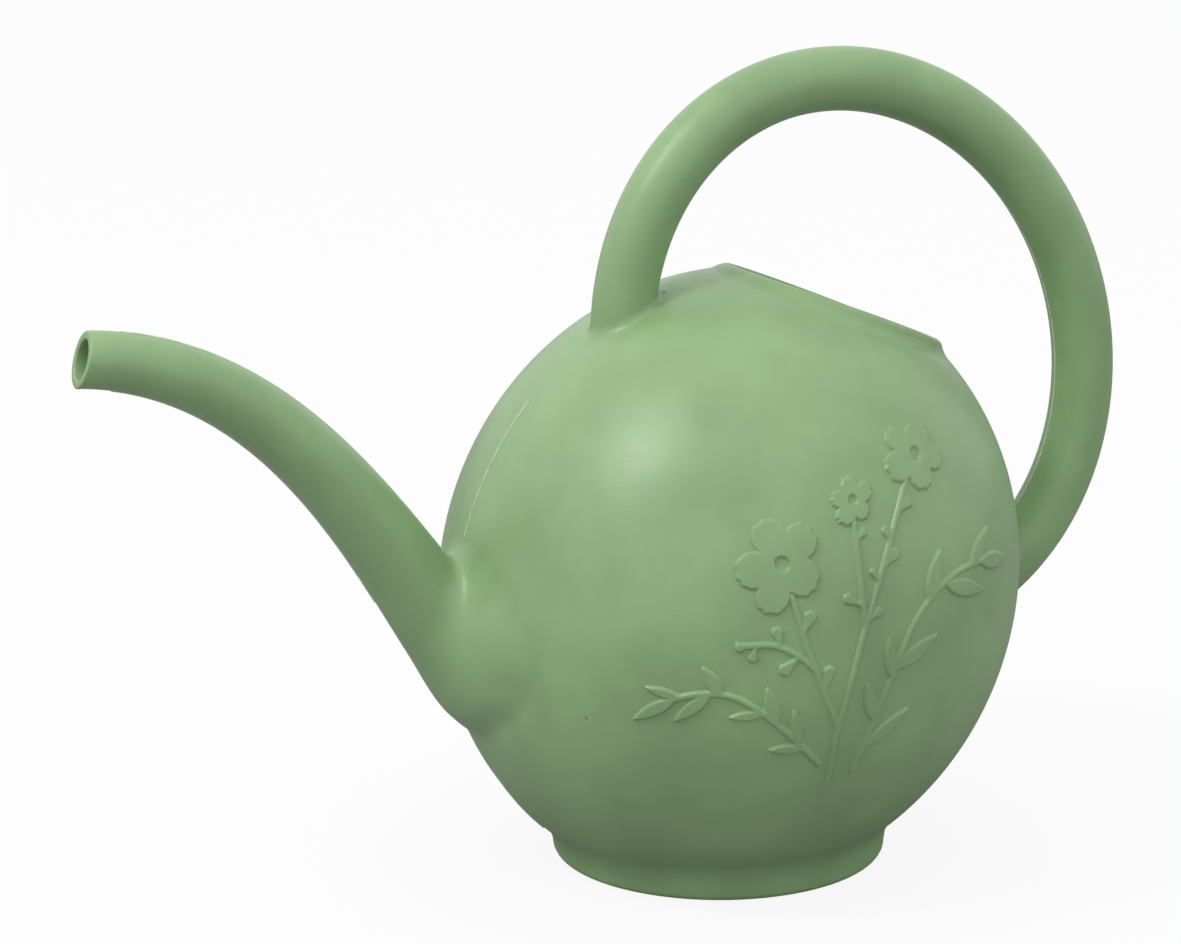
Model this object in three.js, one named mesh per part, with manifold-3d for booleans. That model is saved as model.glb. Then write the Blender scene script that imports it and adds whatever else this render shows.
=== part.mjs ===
// Watering can of blow-moulded polyethylene: a tilted egg-shaped body on a low foot, a round filler
// mouth, a swan-neck spout, a hooped tube handle and flowers raised on both sides.
// Units are millimetres, +Z is up, the spout points to -X and the handle to +X.
// The can is drawn with the middle of its foot at x = 0, and the whole group is then moved along X
// so that the origin lies at the middle of the can's box, on the ground.
import * as THREE from "three";
import { ParametricGeometry } from "three/addons/geometries/ParametricGeometry.js";
import { mergeVertices } from "three/addons/utils/BufferGeometryUtils.js";
import Module from "manifold-3d";

const wasm = await Module();
wasm.setup();

// ---------------------------------------------------------------- driving dimensions

const BODY_RADIUS = 90; // largest radius of the body, across its own leaning axis
const BODY_POLE = 98.4; // half length of the body along that axis
const BODY_LEAN = THREE.MathUtils.degToRad(22.7); // lean of the axis towards the handle
const BODY_CENTRE = new THREE.Vector2(3.3, 88.3); // x and z
const WALL = 2.4;
const GAP = 0.3; // between neighbouring pieces

const FOOT_HEIGHT = 9.5;
const FOOT_LEDGE = 0.3; // the foot's top stands this far proud of the body's wall
const FOOT_TAPER = 1.2; // the foot is this much slimmer at the ground, in radius
const FOOT_EDGE = 1.5; // rounding where the foot meets the ground
const STANDING_WIDTH = 6.5; // of the flat ring that the can stands on
const BASE_RISE = 3.6; // the base panel's underside above the ground

const MOUTH_RADIUS = 36.3; // outside of the filler collar
const COLLAR_WALL = 2.6;
const COLLAR_RISE = 2.9; // of the lip over the body's surface, along the body's axis
const LIP_SLANT = 0.95; // the lip is trimmed this much higher on the left than at its middle
const LIP_DIP = 0.8; // and this much lower at its front and rear
const COLLAR_FLARE = 3; // spread of the collar's foot over the body
const LIP_ROUND = 1.7; // rounding of the lip's outer edge

// The spout's centreline is one curve with four control points, x and z.
const SPOUT_DEPTH = 7.7; // of the root inside the front of the body
const SPOUT_ROOT = new THREE.Vector2(BODY_CENTRE.x - BODY_RADIUS + SPOUT_DEPTH, 68);
const SPOUT_REACH = new THREE.Vector2(-121.7, 108.5); // from the root to the middle of the mouth
const SHOULDER_PULL = new THREE.Vector2(-23.5, 22.9); // lifts the neck off the body
const CROOK_PULL = new THREE.Vector2(69.9, -5.8); // levels the neck behind the mouth
const SPOUT_TIP_RADIUS = 8.5;
const SPOUT_TAPER = 3.6; // added to the radius evenly along the neck
const SPOUT_SWELL = 4; // added to the radius near the root
const SPOUT_SPREAD = 2.4; // sideways widening of the root, as a share of the radius
const BORE_SPREAD = 1.2; // the same for the bore, so the flanks of the root are thicker
const SPOUT_WALL = 2.6;
const SPOUT_CUT = THREE.MathUtils.degToRad(16); // upward tilt of the cut mouth
const SPOUT_JOINTS = [0.3, 0.62]; // where the tip and the neck end, along the centreline

const HANDLE_CENTRE = new THREE.Vector2(44.7, 67.2).add(BODY_CENTRE); // x and z
const HANDLE_SHORT = 76.7; // half axes of the centreline's ellipse
const HANDLE_LONG = 90.8;
const HANDLE_TURN = THREE.MathUtils.degToRad(27.6);
const HANDLE_RADIUS = 9.8;
const HANDLE_WALL = 2.2;
const HANDLE_START = THREE.MathUtils.degToRad(-120); // ends of the hoop, well inside the body
const HANDLE_END = THREE.MathUtils.degToRad(165);
const HANDLE_JOINTS = [-33, 107].map(THREE.MathUtils.degToRad);

const RELIEF_HEIGHT = 1; // of the raised decoration
const STEM_HALF_WIDTH = 0.85;
const DIMPLE_SHARE = 0.15; // of a flower's radius

const BODY_SIDES = 40; // facets round the body
const BODY_RINGS = 22; // facets from pole to pole
const CHAMBER_SIDES = 28;
const CHAMBER_RINGS = 16;
const TUBE_SIDES = 16;
const BORE_SIDES = 12;

// ---------------------------------------------------------------- colours

const SAGE_GREEN = 0x86a67c;

function polyethylene() {
  return new THREE.MeshStandardMaterial({ color: SAGE_GREEN, roughness: 0.45, metalness: 0 });
}

// ---------------------------------------------------------------- solids

function solidOf(geometry) {
  const bare = geometry.clone();
  for (const name of ["normal", "uv"]) bare.deleteAttribute(name);
  const merged = mergeVertices(bare, 1e-3);
  return new wasm.Manifold(
    new wasm.Mesh({
      numProp: 3,
      vertProperties: new Float32Array(merged.attributes.position.array),
      triVerts: new Uint32Array(merged.index.array),
    }),
  );
}

const SHORTEST_EDGE = 0.01; // slivers left by the cuts are closed up
const CRUMB = 1; // mm3, and crumbs this small are swept away

function pieceOf(name, solid) {
  const bodies = solid.decompose().filter((body) => body.volume() > CRUMB);
  const whole = bodies.reduce((joined, body) => joined.add(body));
  const mesh = whole.simplify(SHORTEST_EDGE).getMesh();
  const geometry = new THREE.BufferGeometry();
  geometry.setAttribute("position", new THREE.BufferAttribute(mesh.vertProperties, 3));
  geometry.setIndex(new THREE.BufferAttribute(mesh.triVerts, 1));
  geometry.computeVertexNormals();
  const piece = new THREE.Mesh(geometry, polyethylene());
  piece.name = name;
  return piece;
}

// The body's own frame: +Z along its leaning axis, origin at its centre.
const bodyFrame = new THREE.Matrix4()
  .makeTranslation(BODY_CENTRE.x, 0, BODY_CENTRE.y)
  .multiply(new THREE.Matrix4().makeRotationY(BODY_LEAN));

// The body's outer surface moved outwards by `offset`, as a closed solid.
function egg(offset, sides = BODY_SIDES, rings = BODY_RINGS) {
  const ball = new THREE.SphereGeometry(1, sides, rings);
  ball.rotateX(Math.PI / 2);
  ball.scale(BODY_RADIUS + offset, BODY_RADIUS + offset, BODY_POLE + offset);
  ball.applyMatrix4(bodyFrame);
  return solidOf(ball);
}

// A solid of revolution about the ground's normal, from [radius, height] corners that close.
function turned(corners, sides = BODY_SIDES) {
  const profile = corners.map(([radius, height]) => new THREE.Vector2(radius, height));
  profile.push(profile[0].clone());
  const lathe = new THREE.LatheGeometry(profile, sides);
  lathe.rotateX(Math.PI / 2);
  return lathe;
}

// Corners of a quarter round that starts at [radius, height] and turns in towards the axis. It
// rises by `rise`, or drops if that is negative, and narrows by as much.
function rounding(radius, height, rise) {
  return [0, 30, 60, 90].map(THREE.MathUtils.degToRad).map((angle) => [
    radius - Math.abs(rise) * (1 - Math.cos(angle)),
    height + rise * Math.sin(angle),
  ]);
}

// The direction of a curve, which also holds a little way past its two ends.
function headingOf(curve, t) {
  const STEP = 1e-3;
  return curve.getPoint(t + STEP).sub(curve.getPoint(t - STEP)).normalize();
}

// A tube of changing oval section along a curve in the XZ plane. `sizeAt(t)` gives the half width in
// the plane and the half width across it. The ends are closed.
function tube(curve, from, to, sizeAt, steps, sides = TUBE_SIDES) {
  const surface = (around, along, target) => {
    const step = Math.round(along * (steps + 2)) - 1;
    const t = from + (to - from) * THREE.MathUtils.clamp(step / steps, 0, 1);
    const closed = step < 0 || step > steps;
    const centre = curve.getPoint(t);
    const tangent = headingOf(curve, t);
    const [inPlane, across] = closed ? [0, 0] : sizeAt(t);
    const angle = -around * 2 * Math.PI; // this way round, the skin faces out
    const rise = inPlane * Math.cos(angle);
    target.set(centre.x - tangent.y * rise, across * Math.sin(angle), centre.y + tangent.x * rise);
  };
  return solidOf(new ParametricGeometry(surface, sides, steps + 2));
}

// The part of a solid on one side of a plane that holds `point` (x and z) and has the XZ `normal`.
function trimmed(solid, normal, point, inset = 0) {
  const unit = normal.clone().normalize();
  return solid.trimByPlane([unit.x, 0, unit.y], unit.dot(point) + inset);
}

// ---------------------------------------------------------------- body, foot and base

const bodySolid = egg(0);
const chamber = egg(-WALL, CHAMBER_SIDES, CHAMBER_RINGS);

const mouthBore = solidOf(
  turned([
    [0, 0],
    [MOUTH_RADIUS - COLLAR_WALL, 0],
    [MOUTH_RADIUS - COLLAR_WALL, 2 * BODY_POLE],
    [0, 2 * BODY_POLE],
  ]).applyMatrix4(bodyFrame),
);

const spoutMouth = SPOUT_ROOT.clone().add(SPOUT_REACH);
const spoutCurve = new THREE.CubicBezierCurve(
  spoutMouth,
  spoutMouth.clone().add(CROOK_PULL),
  SPOUT_ROOT.clone().add(SHOULDER_PULL),
  SPOUT_ROOT,
);
const SPOUT_ROOT_END = 1.12; // the tube runs on into the body before it is cut
const TIP_OVERRUN = -0.05; // and past the mouth
const SPREAD_LIMIT = 0.92; // the root stops widening where it meets the body
const SWELL_POWER = 2.2; // how late along the spout the swell comes in
const SPREAD_POWER = 8; // and the sideways widening

function spoutRadius(t) {
  return SPOUT_TIP_RADIUS + SPOUT_TAPER * t + SPOUT_SWELL * Math.max(t, 0) ** SWELL_POWER;
}

function spoutSize(inset, widening) {
  return (t) => {
    const radius = spoutRadius(t);
    const spread = 1 + widening * THREE.MathUtils.clamp(t, 0, SPREAD_LIMIT) ** SPREAD_POWER;
    return [radius - inset, radius * spread - inset];
  };
}

const handleCurve = new THREE.EllipseCurve(
  HANDLE_CENTRE.x,
  HANDLE_CENTRE.y,
  HANDLE_SHORT,
  HANDLE_LONG,
  HANDLE_START,
  HANDLE_END,
  false,
  HANDLE_TURN,
);

function handleShare(angle) {
  return (angle - HANDLE_START) / (HANDLE_END - HANDLE_START);
}

const HANDLE_STEPS = 32;
const SPOUT_STEPS = 20;
const BORE_OVERRUN = 0.03; // the bore runs past the end of its tube

function handleTubeOf(radius, sides) {
  return tube(handleCurve, 0, 1, () => [radius, radius], HANDLE_STEPS, sides);
}

const handleTube = handleTubeOf(HANDLE_RADIUS, TUBE_SIDES);
const handleBore = handleTubeOf(HANDLE_RADIUS - HANDLE_WALL, BORE_SIDES);
const spoutBore = tube(
  spoutCurve,
  TIP_OVERRUN - BORE_OVERRUN,
  SPOUT_ROOT_END,
  spoutSize(SPOUT_WALL, BORE_SPREAD),
  SPOUT_STEPS,
  BORE_SIDES,
);
const spoutTube = tube(
  spoutCurve,
  TIP_OVERRUN,
  SPOUT_ROOT_END,
  spoutSize(0, SPOUT_SPREAD),
  SPOUT_STEPS,
);

const groundPlane = new THREE.Vector2(0, FOOT_HEIGHT);
const UP = new THREE.Vector2(0, 1);
const bodyShell = trimmed(bodySolid, UP, groundPlane)
  .subtract(chamber)
  .subtract(mouthBore)
  .subtract(spoutBore)
  .subtract(handleBore);

// The body's level section at the top of the foot is an oval, and this is half its length: the
// longest root of the section's equation, lengthwise ** 2 * x2 + 2 * skew * x + upright = 1.
function sectionRadius(height) {
  const drop = height - BODY_CENTRE.y;
  const [sine, cosine] = [Math.sin(BODY_LEAN), Math.cos(BODY_LEAN)];
  const x2 = (cosine / BODY_RADIUS) ** 2 + (sine / BODY_POLE) ** 2;
  const skew = drop * sine * cosine * (BODY_POLE ** -2 - BODY_RADIUS ** -2);
  const upright = (drop * sine / BODY_RADIUS) ** 2 + (drop * cosine / BODY_POLE) ** 2;
  return Math.sqrt(skew ** 2 - x2 * (upright - 1)) / x2;
}

const footTop = sectionRadius(FOOT_HEIGHT) + FOOT_LEDGE;
const footBottom = footTop - FOOT_TAPER;
const recessRadius = footBottom - FOOT_EDGE - STANDING_WIDTH;
const footRing = turned([
  [footTop, FOOT_HEIGHT],
  [footTop - WALL, FOOT_HEIGHT],
  [footBottom - WALL, BASE_RISE + WALL],
  [recessRadius, BASE_RISE + WALL],
  [recessRadius, FOOT_EDGE],
  [recessRadius + FOOT_EDGE, 0],
  ...rounding(footBottom, FOOT_EDGE, -FOOT_EDGE).reverse(),
]);
const BASE_CROWN = 2; // rise of the panel's middle
const panelRadius = recessRadius - GAP;
const underside = [0, 0.5, 1].map((share) => [
  share * panelRadius,
  BASE_RISE + BASE_CROWN * (1 - share ** 2),
]);
const upperSide = underside.map(([radius, height]) => [radius, height + WALL]).reverse();
const basePanel = turned([...underside, ...upperSide]);

// ---------------------------------------------------------------- filler collar

// Height of the body's surface over its centre, at a distance from its axis.
function eggHeight(radius, offset) {
  return (BODY_POLE + offset) * Math.sqrt(1 - (radius / (BODY_RADIUS + offset)) ** 2);
}

const collarTop = eggHeight(MOUTH_RADIUS, 0) + COLLAR_RISE;
const collarSeat = eggHeight(MOUTH_RADIUS, 3 * GAP);
const collarFoot = eggHeight(MOUTH_RADIUS + COLLAR_FLARE, 0) - WALL;
const collarBlend = eggHeight(MOUTH_RADIUS + COLLAR_FLARE, 2 * GAP);
const collarProfile = turned([
  [MOUTH_RADIUS - COLLAR_WALL, collarFoot],
  [MOUTH_RADIUS + COLLAR_FLARE, collarFoot],
  [MOUTH_RADIUS + COLLAR_FLARE, collarBlend],
  [MOUTH_RADIUS + COLLAR_FLARE / 3, collarSeat],
  ...rounding(MOUTH_RADIUS, collarTop - LIP_ROUND, LIP_ROUND),
  [MOUTH_RADIUS - COLLAR_WALL, collarTop],
]);
// The lip isn't level: what stands over the seat is stretched up or down with it.
const corner = collarProfile.attributes.position;
for (let i = 0; i < corner.count; i++) {
  const [x, y, z] = [corner.getX(i), corner.getY(i), corner.getZ(i)];
  if (z <= collarSeat) continue;
  const lift = (-LIP_SLANT * y) / MOUTH_RADIUS - LIP_DIP * (x / MOUTH_RADIUS) ** 2;
  corner.setZ(i, z + (lift * (z - collarSeat)) / (collarTop - collarSeat));
}
const collar = solidOf(collarProfile.applyMatrix4(bodyFrame));

// ---------------------------------------------------------------- raised decoration

// The decoration is drawn in the XZ plane and pressed onto each side of the body. Every list holds
// x and z over the middle of the foot.

const FLOWERS = {
  large_flower: { centre: [-16.2, 116.2], radius: 13.4, tips: [46, 106, 189, 250, 320] },
  medium_flower: { centre: [32.3, 141.2], radius: 10.2, tips: [60, 142, 197, 287, 347] },
  small_flower: { centre: [7.7, 132], radius: 6.8, tips: [30, 98, 176, 228, 302] },
};
const PETAL_NOTCH = 0.36; // depth of the cuts between petals, as a share of the radius

const MAIN_STEM = [[-0.3, 43.5], [0, 57], [0.4, 66.5]];
const STEM_ENDS = {
  large_flower: [[0.2, 65.5], [-4.9, 77], [-8.1, 85.2], [-10.9, 93.1], [-14.3, 107]],
  medium_flower: [[0.4, 66], [3.4, 79], [9, 98.5], [18.4, 119.8], [27.4, 136]],
  small_flower: [[8, 95.5], [7.3, 105], [7, 116], [7, 127.3]],
};
const SIDE_BRANCH = [[-7.7, 84.2], [-12, 88.4], [-18.3, 92.2], [-23, 93], [-28.6, 92.8]];

// Buds, from the stem to the round end, with the radius of that end.
const BUDS = [
  [[-18.2, 92.2], [-19, 96.6], 1.7],
  [[-25.2, 92.6], [-26, 89.4], 1.4],
  [[-12.8, 89.2], [-16.8, 85.4], 1.9],
  [[-4.9, 77.2], [-3.7, 83.6], 1.8],
  [[7.3, 102.2], [2.8, 104.8], 1.6],
  [[13.2, 108.3], [11.4, 111.6], 1.1],
  [[15.5, 112.8], [19, 115.6], 2],
  [[9.8, 98.3], [12.2, 99.8], 1.6],
];

// Each sprig is a stem with leaves, each leaf from the stem to its point, with its half width.
const SPRIGS = {
  front_sprig: {
    stem: [[-4.2, 53.8], [-15.2, 65], [-24.5, 73.2], [-32.4, 77.7], [-40, 78.2], [-47, 76.3]],
    leaves: [
      [[-45, 76.8], [-53.9, 79.6], 1.3],
      [[-46.5, 76.4], [-56.3, 69], 1.8],
      [[-37.5, 78.2], [-46.4, 69.3], 1.8],
      [[-34.5, 77.8], [-39.5, 86.6], 1.9],
      [[-22.5, 71.8], [-32.2, 70.9], 1.4],
      [[-18.6, 68.2], [-22, 80.1], 2],
      [[-11.5, 61.2], [-13.9, 72.6], 1.6],
      [[-9.8, 59.6], [-20.3, 59.9], 1.5],
    ],
  },
  rear_sprig: {
    stem: [[7.4, 49.8], [12.6, 67], [17.6, 80], [24.5, 93.8], [33, 102], [43, 106.3], [54, 106.9]],
    leaves: [
      [[10.4, 57.8], [24.2, 68], 2],
      [[12.3, 65.6], [8.4, 78.9], 2],
      [[18.6, 81.8], [33.9, 89.4], 2.3],
      [[17.2, 79], [15.8, 91.6], 2],
      [[30.6, 99.8], [36.1, 114.3], 2.6],
      [[37.4, 103.6], [54.2, 97.9], 2.5],
      [[48.2, 106.6], [58.1, 115.9], 2.1],
      [[53, 106.8], [67.4, 103.8], 2.4],
    ],
  },
};

const toVector = ([x, z]) => new THREE.Vector2(x, z);

function flowerShape({ centre, radius, tips }) {
  const POINTS_PER_PETAL = 8;
  const outline = [];
  tips.forEach((tip, i) => {
    const next = i + 1 < tips.length ? tips[i + 1] : tips[0] + 360;
    for (let k = 0; k < POINTS_PER_PETAL; k++) {
      const share = k / POINTS_PER_PETAL;
      const angle = THREE.MathUtils.degToRad(tip + (next - tip) * share);
      const reach = radius * (1 - PETAL_NOTCH * Math.sin(Math.PI * share) ** 3);
      outline.push(new THREE.Vector2(reach * Math.cos(angle), reach * Math.sin(angle)));
    }
  });
  const shape = new THREE.Shape(outline.map((point) => point.add(toVector(centre))));
  shape.holes.push(new THREE.Path().absarc(...centre, DIMPLE_SHARE * radius, 0, 2 * Math.PI));
  return shape;
}

function leafShape([base, point, halfWidth]) {
  const from = toVector(base);
  const to = toVector(point);
  const side = to.clone().sub(from).rotateAround(new THREE.Vector2(), Math.PI / 2);
  side.setLength(2 * halfWidth);
  const middle = from.clone().lerp(to, 0.5);
  const shape = new THREE.Shape();
  shape.moveTo(from.x, from.y);
  shape.quadraticCurveTo(middle.x - side.x, middle.y - side.y, to.x, to.y);
  shape.quadraticCurveTo(middle.x + side.x, middle.y + side.y, from.x, from.y);
  return shape;
}

function budShape([base, end, radius]) {
  const from = toVector(base);
  const to = toVector(end);
  const turn = to.clone().sub(from).angle();
  const shape = new THREE.Shape();
  shape.moveTo(from.x, from.y);
  shape.absarc(to.x, to.y, radius, turn - Math.PI / 2, turn + Math.PI / 2);
  shape.lineTo(from.x, from.y);
  return shape;
}

function stemShape(route) {
  const spline = new THREE.SplineCurve(route.map(toVector));
  const steps = 3 * (route.length - 1);
  const sides = [[], []];
  for (let i = 0; i <= steps; i++) {
    const point = spline.getPoint(i / steps);
    const across = spline.getTangent(i / steps).rotateAround(new THREE.Vector2(), Math.PI / 2);
    across.multiplyScalar(STEM_HALF_WIDTH);
    sides[0].push(point.clone().sub(across));
    sides[1].unshift(point.clone().add(across));
  }
  return new THREE.Shape(sides.flat());
}

// A flat shape as a bar that runs through one side of the body: side -1 is the left, +1 the right.
function bar(shape, side) {
  const REACH = 2 * BODY_RADIUS;
  const bevelEnabled = false;
  const block = new THREE.ExtrudeGeometry(shape, { depth: REACH, bevelEnabled, curveSegments: 5 });
  block.rotateX(Math.PI / 2);
  if (side > 0) block.translate(0, REACH, 0);
  return solidOf(block);
}

const reliefSkin = egg(RELIEF_HEIGHT).subtract(egg(GAP));

function pressed(shapes, side) {
  return shapes
    .map((shape) => bar(shape, side))
    .reduce((joined, next) => joined.add(next))
    .intersect(reliefSkin);
}

// ---------------------------------------------------------------- assembly

const can = new THREE.Group();
const addPiece = (name, solid) => can.add(pieceOf(name, solid));
const keepOff = egg(GAP);

addPiece("foot_ring", solidOf(footRing));
addPiece("base_panel", solidOf(basePanel));
addPiece("filler_collar", collar.subtract(keepOff));

for (const [side, name] of [[-1, "left"], [1, "right"]]) {
  addPiece(`body_${name}_half`, bodyShell.trimByPlane([0, side, 0], GAP / 2));

  const flowers = Object.entries(FLOWERS).map(([flower, sizes]) => [flower, flowerShape(sizes)]);
  for (const [flower, shape] of flowers) addPiece(`${name}_${flower}`, pressed([shape], side));

  const stems = [MAIN_STEM, SIDE_BRANCH, ...Object.values(STEM_ENDS)].map(stemShape);
  const rings = Object.values(FLOWERS).map((flower) => {
    const clearance = { ...flower, radius: flower.radius + GAP };
    const outline = flowerShape(clearance);
    outline.holes = [];
    return bar(outline, side);
  });
  const bunch = pressed([...stems, ...BUDS.map(budShape)], side);
  addPiece(`${name}_flower_stems`, rings.reduce((left, ring) => left.subtract(ring), bunch));

  for (const [sprig, { stem, leaves }] of Object.entries(SPRIGS)) {
    addPiece(`${name}_${sprig}`, pressed([stemShape(stem), ...leaves.map(leafShape)], side));
  }
}

// The spout is cut square to its centreline into root, neck and tip, and slanted at the mouth.
const mouthNormal = new THREE.Vector2(Math.cos(SPOUT_CUT), -Math.sin(SPOUT_CUT));
const spout = trimmed(spoutTube.subtract(spoutBore), mouthNormal, spoutMouth).subtract(keepOff);
const jointOf = (curve, t) => ({ point: curve.getPoint(t), normal: headingOf(curve, t) });
const after = (solid, { point, normal }) => trimmed(solid, normal, point, GAP / 2);
const before = (solid, { point, normal }) => trimmed(solid, normal.clone().negate(), point, GAP / 2);
const [tipEnd, neckEnd] = SPOUT_JOINTS.map((t) => jointOf(spoutCurve, t));
addPiece("spout_tip", before(spout, tipEnd));
addPiece("spout_neck", before(after(spout, tipEnd), neckEnd));
addPiece("spout_root", after(spout, neckEnd));

// The handle's ends meet the body, and its hoop is cut square into rear leg, grip and front leg.
const hoop = handleTube.subtract(handleBore).subtract(keepOff);
const [rearJoint, frontJoint] = HANDLE_JOINTS.map((angle) =>
  jointOf(handleCurve, handleShare(angle)),
);

// A cutting plane also meets the far side of the hoop, so each leg is the one body nearest its joint.
function nearest(solid, { point }) {
  const away = (part) => {
    const { min, max } = part.boundingBox();
    return Math.hypot((min[0] + max[0]) / 2 - point.x, (min[2] + max[2]) / 2 - point.y);
  };
  return solid.decompose().sort((a, b) => away(a) - away(b))[0];
}

addPiece("handle_rear_leg", nearest(before(hoop, rearJoint), rearJoint));
addPiece("handle_front_leg", nearest(after(hoop, frontJoint), frontJoint));
addPiece("handle_grip", before(after(hoop, rearJoint), frontJoint));

const reach = new THREE.Box3().setFromObject(can);
can.position.x = -(reach.min.x + reach.max.x) / 2;

export default can;
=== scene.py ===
"""Builds the looks of a blow-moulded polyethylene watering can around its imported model.

The can is one soft skin: a leaning egg, a low foot, a filler collar, a swan-neck spout and a hooped
handle, which all run into each other in fillets. That skin is written once, as a field that is zero
on the skin and negative inside it. The body, foot, collar, spout and handle take their outsides and
normals from it, so they meet without a line. The flowers are laid on the egg, and the base panel
closes the foot. Lengths are in metres and +Z is up.
"""

import math

import bmesh
import bpy
import numpy as np
from bpy.props import FloatProperty, FloatVectorProperty, IntProperty, PointerProperty
from mathutils import Matrix, Vector


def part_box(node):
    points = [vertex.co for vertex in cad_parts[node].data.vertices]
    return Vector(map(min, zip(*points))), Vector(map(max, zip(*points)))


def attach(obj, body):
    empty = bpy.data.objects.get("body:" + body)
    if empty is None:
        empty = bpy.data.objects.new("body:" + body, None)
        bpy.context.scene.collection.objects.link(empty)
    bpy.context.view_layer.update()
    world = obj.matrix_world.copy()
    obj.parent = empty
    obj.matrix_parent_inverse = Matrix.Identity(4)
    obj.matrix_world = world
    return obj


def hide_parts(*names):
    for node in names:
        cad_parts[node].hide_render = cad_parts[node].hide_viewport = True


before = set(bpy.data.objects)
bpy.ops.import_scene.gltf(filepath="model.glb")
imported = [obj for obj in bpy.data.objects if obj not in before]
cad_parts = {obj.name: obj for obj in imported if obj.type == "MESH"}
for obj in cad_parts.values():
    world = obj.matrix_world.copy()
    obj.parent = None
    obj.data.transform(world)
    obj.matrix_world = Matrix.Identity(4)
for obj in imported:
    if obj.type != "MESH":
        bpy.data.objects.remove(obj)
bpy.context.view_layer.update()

bl_info = {
    "name": "Moulded Watering Can",
    "version": (1, 0, 0),
    "blender": (4, 5, 0),
    "location": "View3D > Sidebar > Watering Can",
    "description": "Builds a blow-moulded watering can with raised flowers, piece by piece",
    "category": "Add Mesh",
}

MM = 0.001

FOOT_LOW, FOOT_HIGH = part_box("foot_ring")
BODY_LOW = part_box("body_left_half")[0]
FOOT_MIDDLE = (FOOT_LOW.x + FOOT_HIGH.x) / 2  # x of the middle of the foot


# ---------------------------------------------------------------- what a user would change


def linear(hex_colour):
    """An sRGB hex colour as linear red, green and blue."""
    channels = [int(hex_colour[i : i + 2], 16) / 255 for i in (1, 3, 5)]
    return [c / 12.92 if c <= 0.04045 else ((c + 0.055) / 1.055) ** 2.4 for c in channels]


def length(name, metres, description):
    return FloatProperty(
        name=name, default=metres, min=0, unit="LENGTH", precision=5, description=description
    )


def position(name, metres, description):
    return FloatProperty(
        name=name, default=metres, unit="LENGTH", precision=5, description=description
    )


def turn(name, degrees, description):
    return FloatProperty(
        name=name, default=math.radians(degrees), subtype="ANGLE", description=description
    )


def tint(name, hex_colour, description):
    return FloatVectorProperty(
        name=name,
        default=linear(hex_colour),
        subtype="COLOR",
        min=0,
        max=1,
        description=description,
    )


class BodySizes(bpy.types.PropertyGroup):
    radius: length("Radius", -BODY_LOW.y, "Largest radius of the body, across its leaning axis")
    pole: length("Half length", 98.4 * MM, "Half length of the body along its axis")
    lean: turn("Lean", 22.7, "Lean of the axis towards the handle")
    centre_x: position("Centre X", FOOT_MIDDLE + 3.3 * MM, "Place of the body's centre")
    centre_z: position("Centre Z", 88.3 * MM, "Height of the body's centre")
    wall: length("Wall", 2.4 * MM, "Thickness of the blown wall")
    cell: length("Mesh cell", 1.4 * MM, "Size of a facet of the body's skin")


class FootSizes(bpy.types.PropertyGroup):
    height: length("Height", FOOT_HIGH.z, "Height at which the foot meets the body")
    radius: length("Radius", (FOOT_HIGH.x - FOOT_LOW.x) / 2, "Radius at the top of the foot")
    taper: length("Taper", 1.2 * MM, "How much slimmer the foot is at the ground")
    edge: length("Edge", 1.5 * MM, "Rounding where the foot meets the ground")
    standing: length("Standing ring", 6.5 * MM, "Width of the ring that the can stands on")
    rise: length("Base rise", 3.6 * MM, "Height of the base panel's underside at its edge")
    crown: length("Base crown", 2 * MM, "How much higher the middle of the base panel is")
    fillet: length("Fillet", 4 * MM, "Blend between the foot and the body")


class CollarSizes(bpy.types.PropertyGroup):
    radius: length("Radius", 36.3 * MM, "Outside of the filler collar")
    wall: length("Wall", 2.6 * MM, "Thickness of the collar")
    top: length("Top", 92.3 * MM, "Height of the lip along the body's axis, from its centre")
    slant: length("Slant", 1.5 * MM, "How much higher the lip is on the left than at its middle")
    dip: length("Dip", 1 * MM, "How much lower the lip is at its front and rear")
    lip: length("Lip", 1.7 * MM, "Rounding of the lip's outer edge")
    seat: length("Seat", 90.3 * MM, "Where the collar leaves the body, along the same axis")
    skirt: length("Skirt", 86.2 * MM, "Where the inside of the collar ends, along the same axis")
    fillet: length("Fillet", 4 * MM, "Blend between the collar and the body")


class SpoutSizes(bpy.types.PropertyGroup):
    tip_radius: length("Tip radius", 8.5 * MM, "Radius at the mouth")
    taper: length("Taper", 3.6 * MM, "Radius gained evenly down the neck")
    swell: length("Swell", 4 * MM, "Radius gained near the root")
    bulb_x: position("Bulb X", FOOT_MIDDLE - 75 * MM, "Middle of the root's bulb, along the can")
    bulb_z: position("Bulb Z", 78 * MM, "Middle of the root's bulb, over the ground")
    bulb_depth: length("Bulb depth", 19 * MM, "Half the length of the bulb")
    bulb_height: length("Bulb height", 28 * MM, "Half the height of the bulb")
    bulb_width: length("Bulb width", 37.3 * MM, "Half the width of the bulb")
    wall: length("Wall", 2.6 * MM, "Thickness of the spout's wall")
    cut: turn("Cut", 16, "Upward tilt of the cut mouth")
    edge: length("Edge", 0.5 * MM, "Rounding of the cut mouth")


class HandleSizes(bpy.types.PropertyGroup):
    radius: length("Radius", 9.8 * MM, "Radius of the handle's tube")
    wall: length("Wall", 2.2 * MM, "Thickness of the handle's wall")
    centre_x: position("Centre X", FOOT_MIDDLE + 48 * MM, "Centre of the hoop")
    centre_z: position("Centre Z", 155.5 * MM, "Height of the hoop's centre")
    short: length("Short half axis", 76.7 * MM, "Half axis of the hoop's ellipse")
    long: length("Long half axis", 90.8 * MM, "Other half axis of the hoop's ellipse")
    turn: turn("Turn", 27.6, "Turn of the ellipse towards the spout")
    fillet: length("Fillet", 2.6 * MM, "Blend between the handle and the body")


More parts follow.
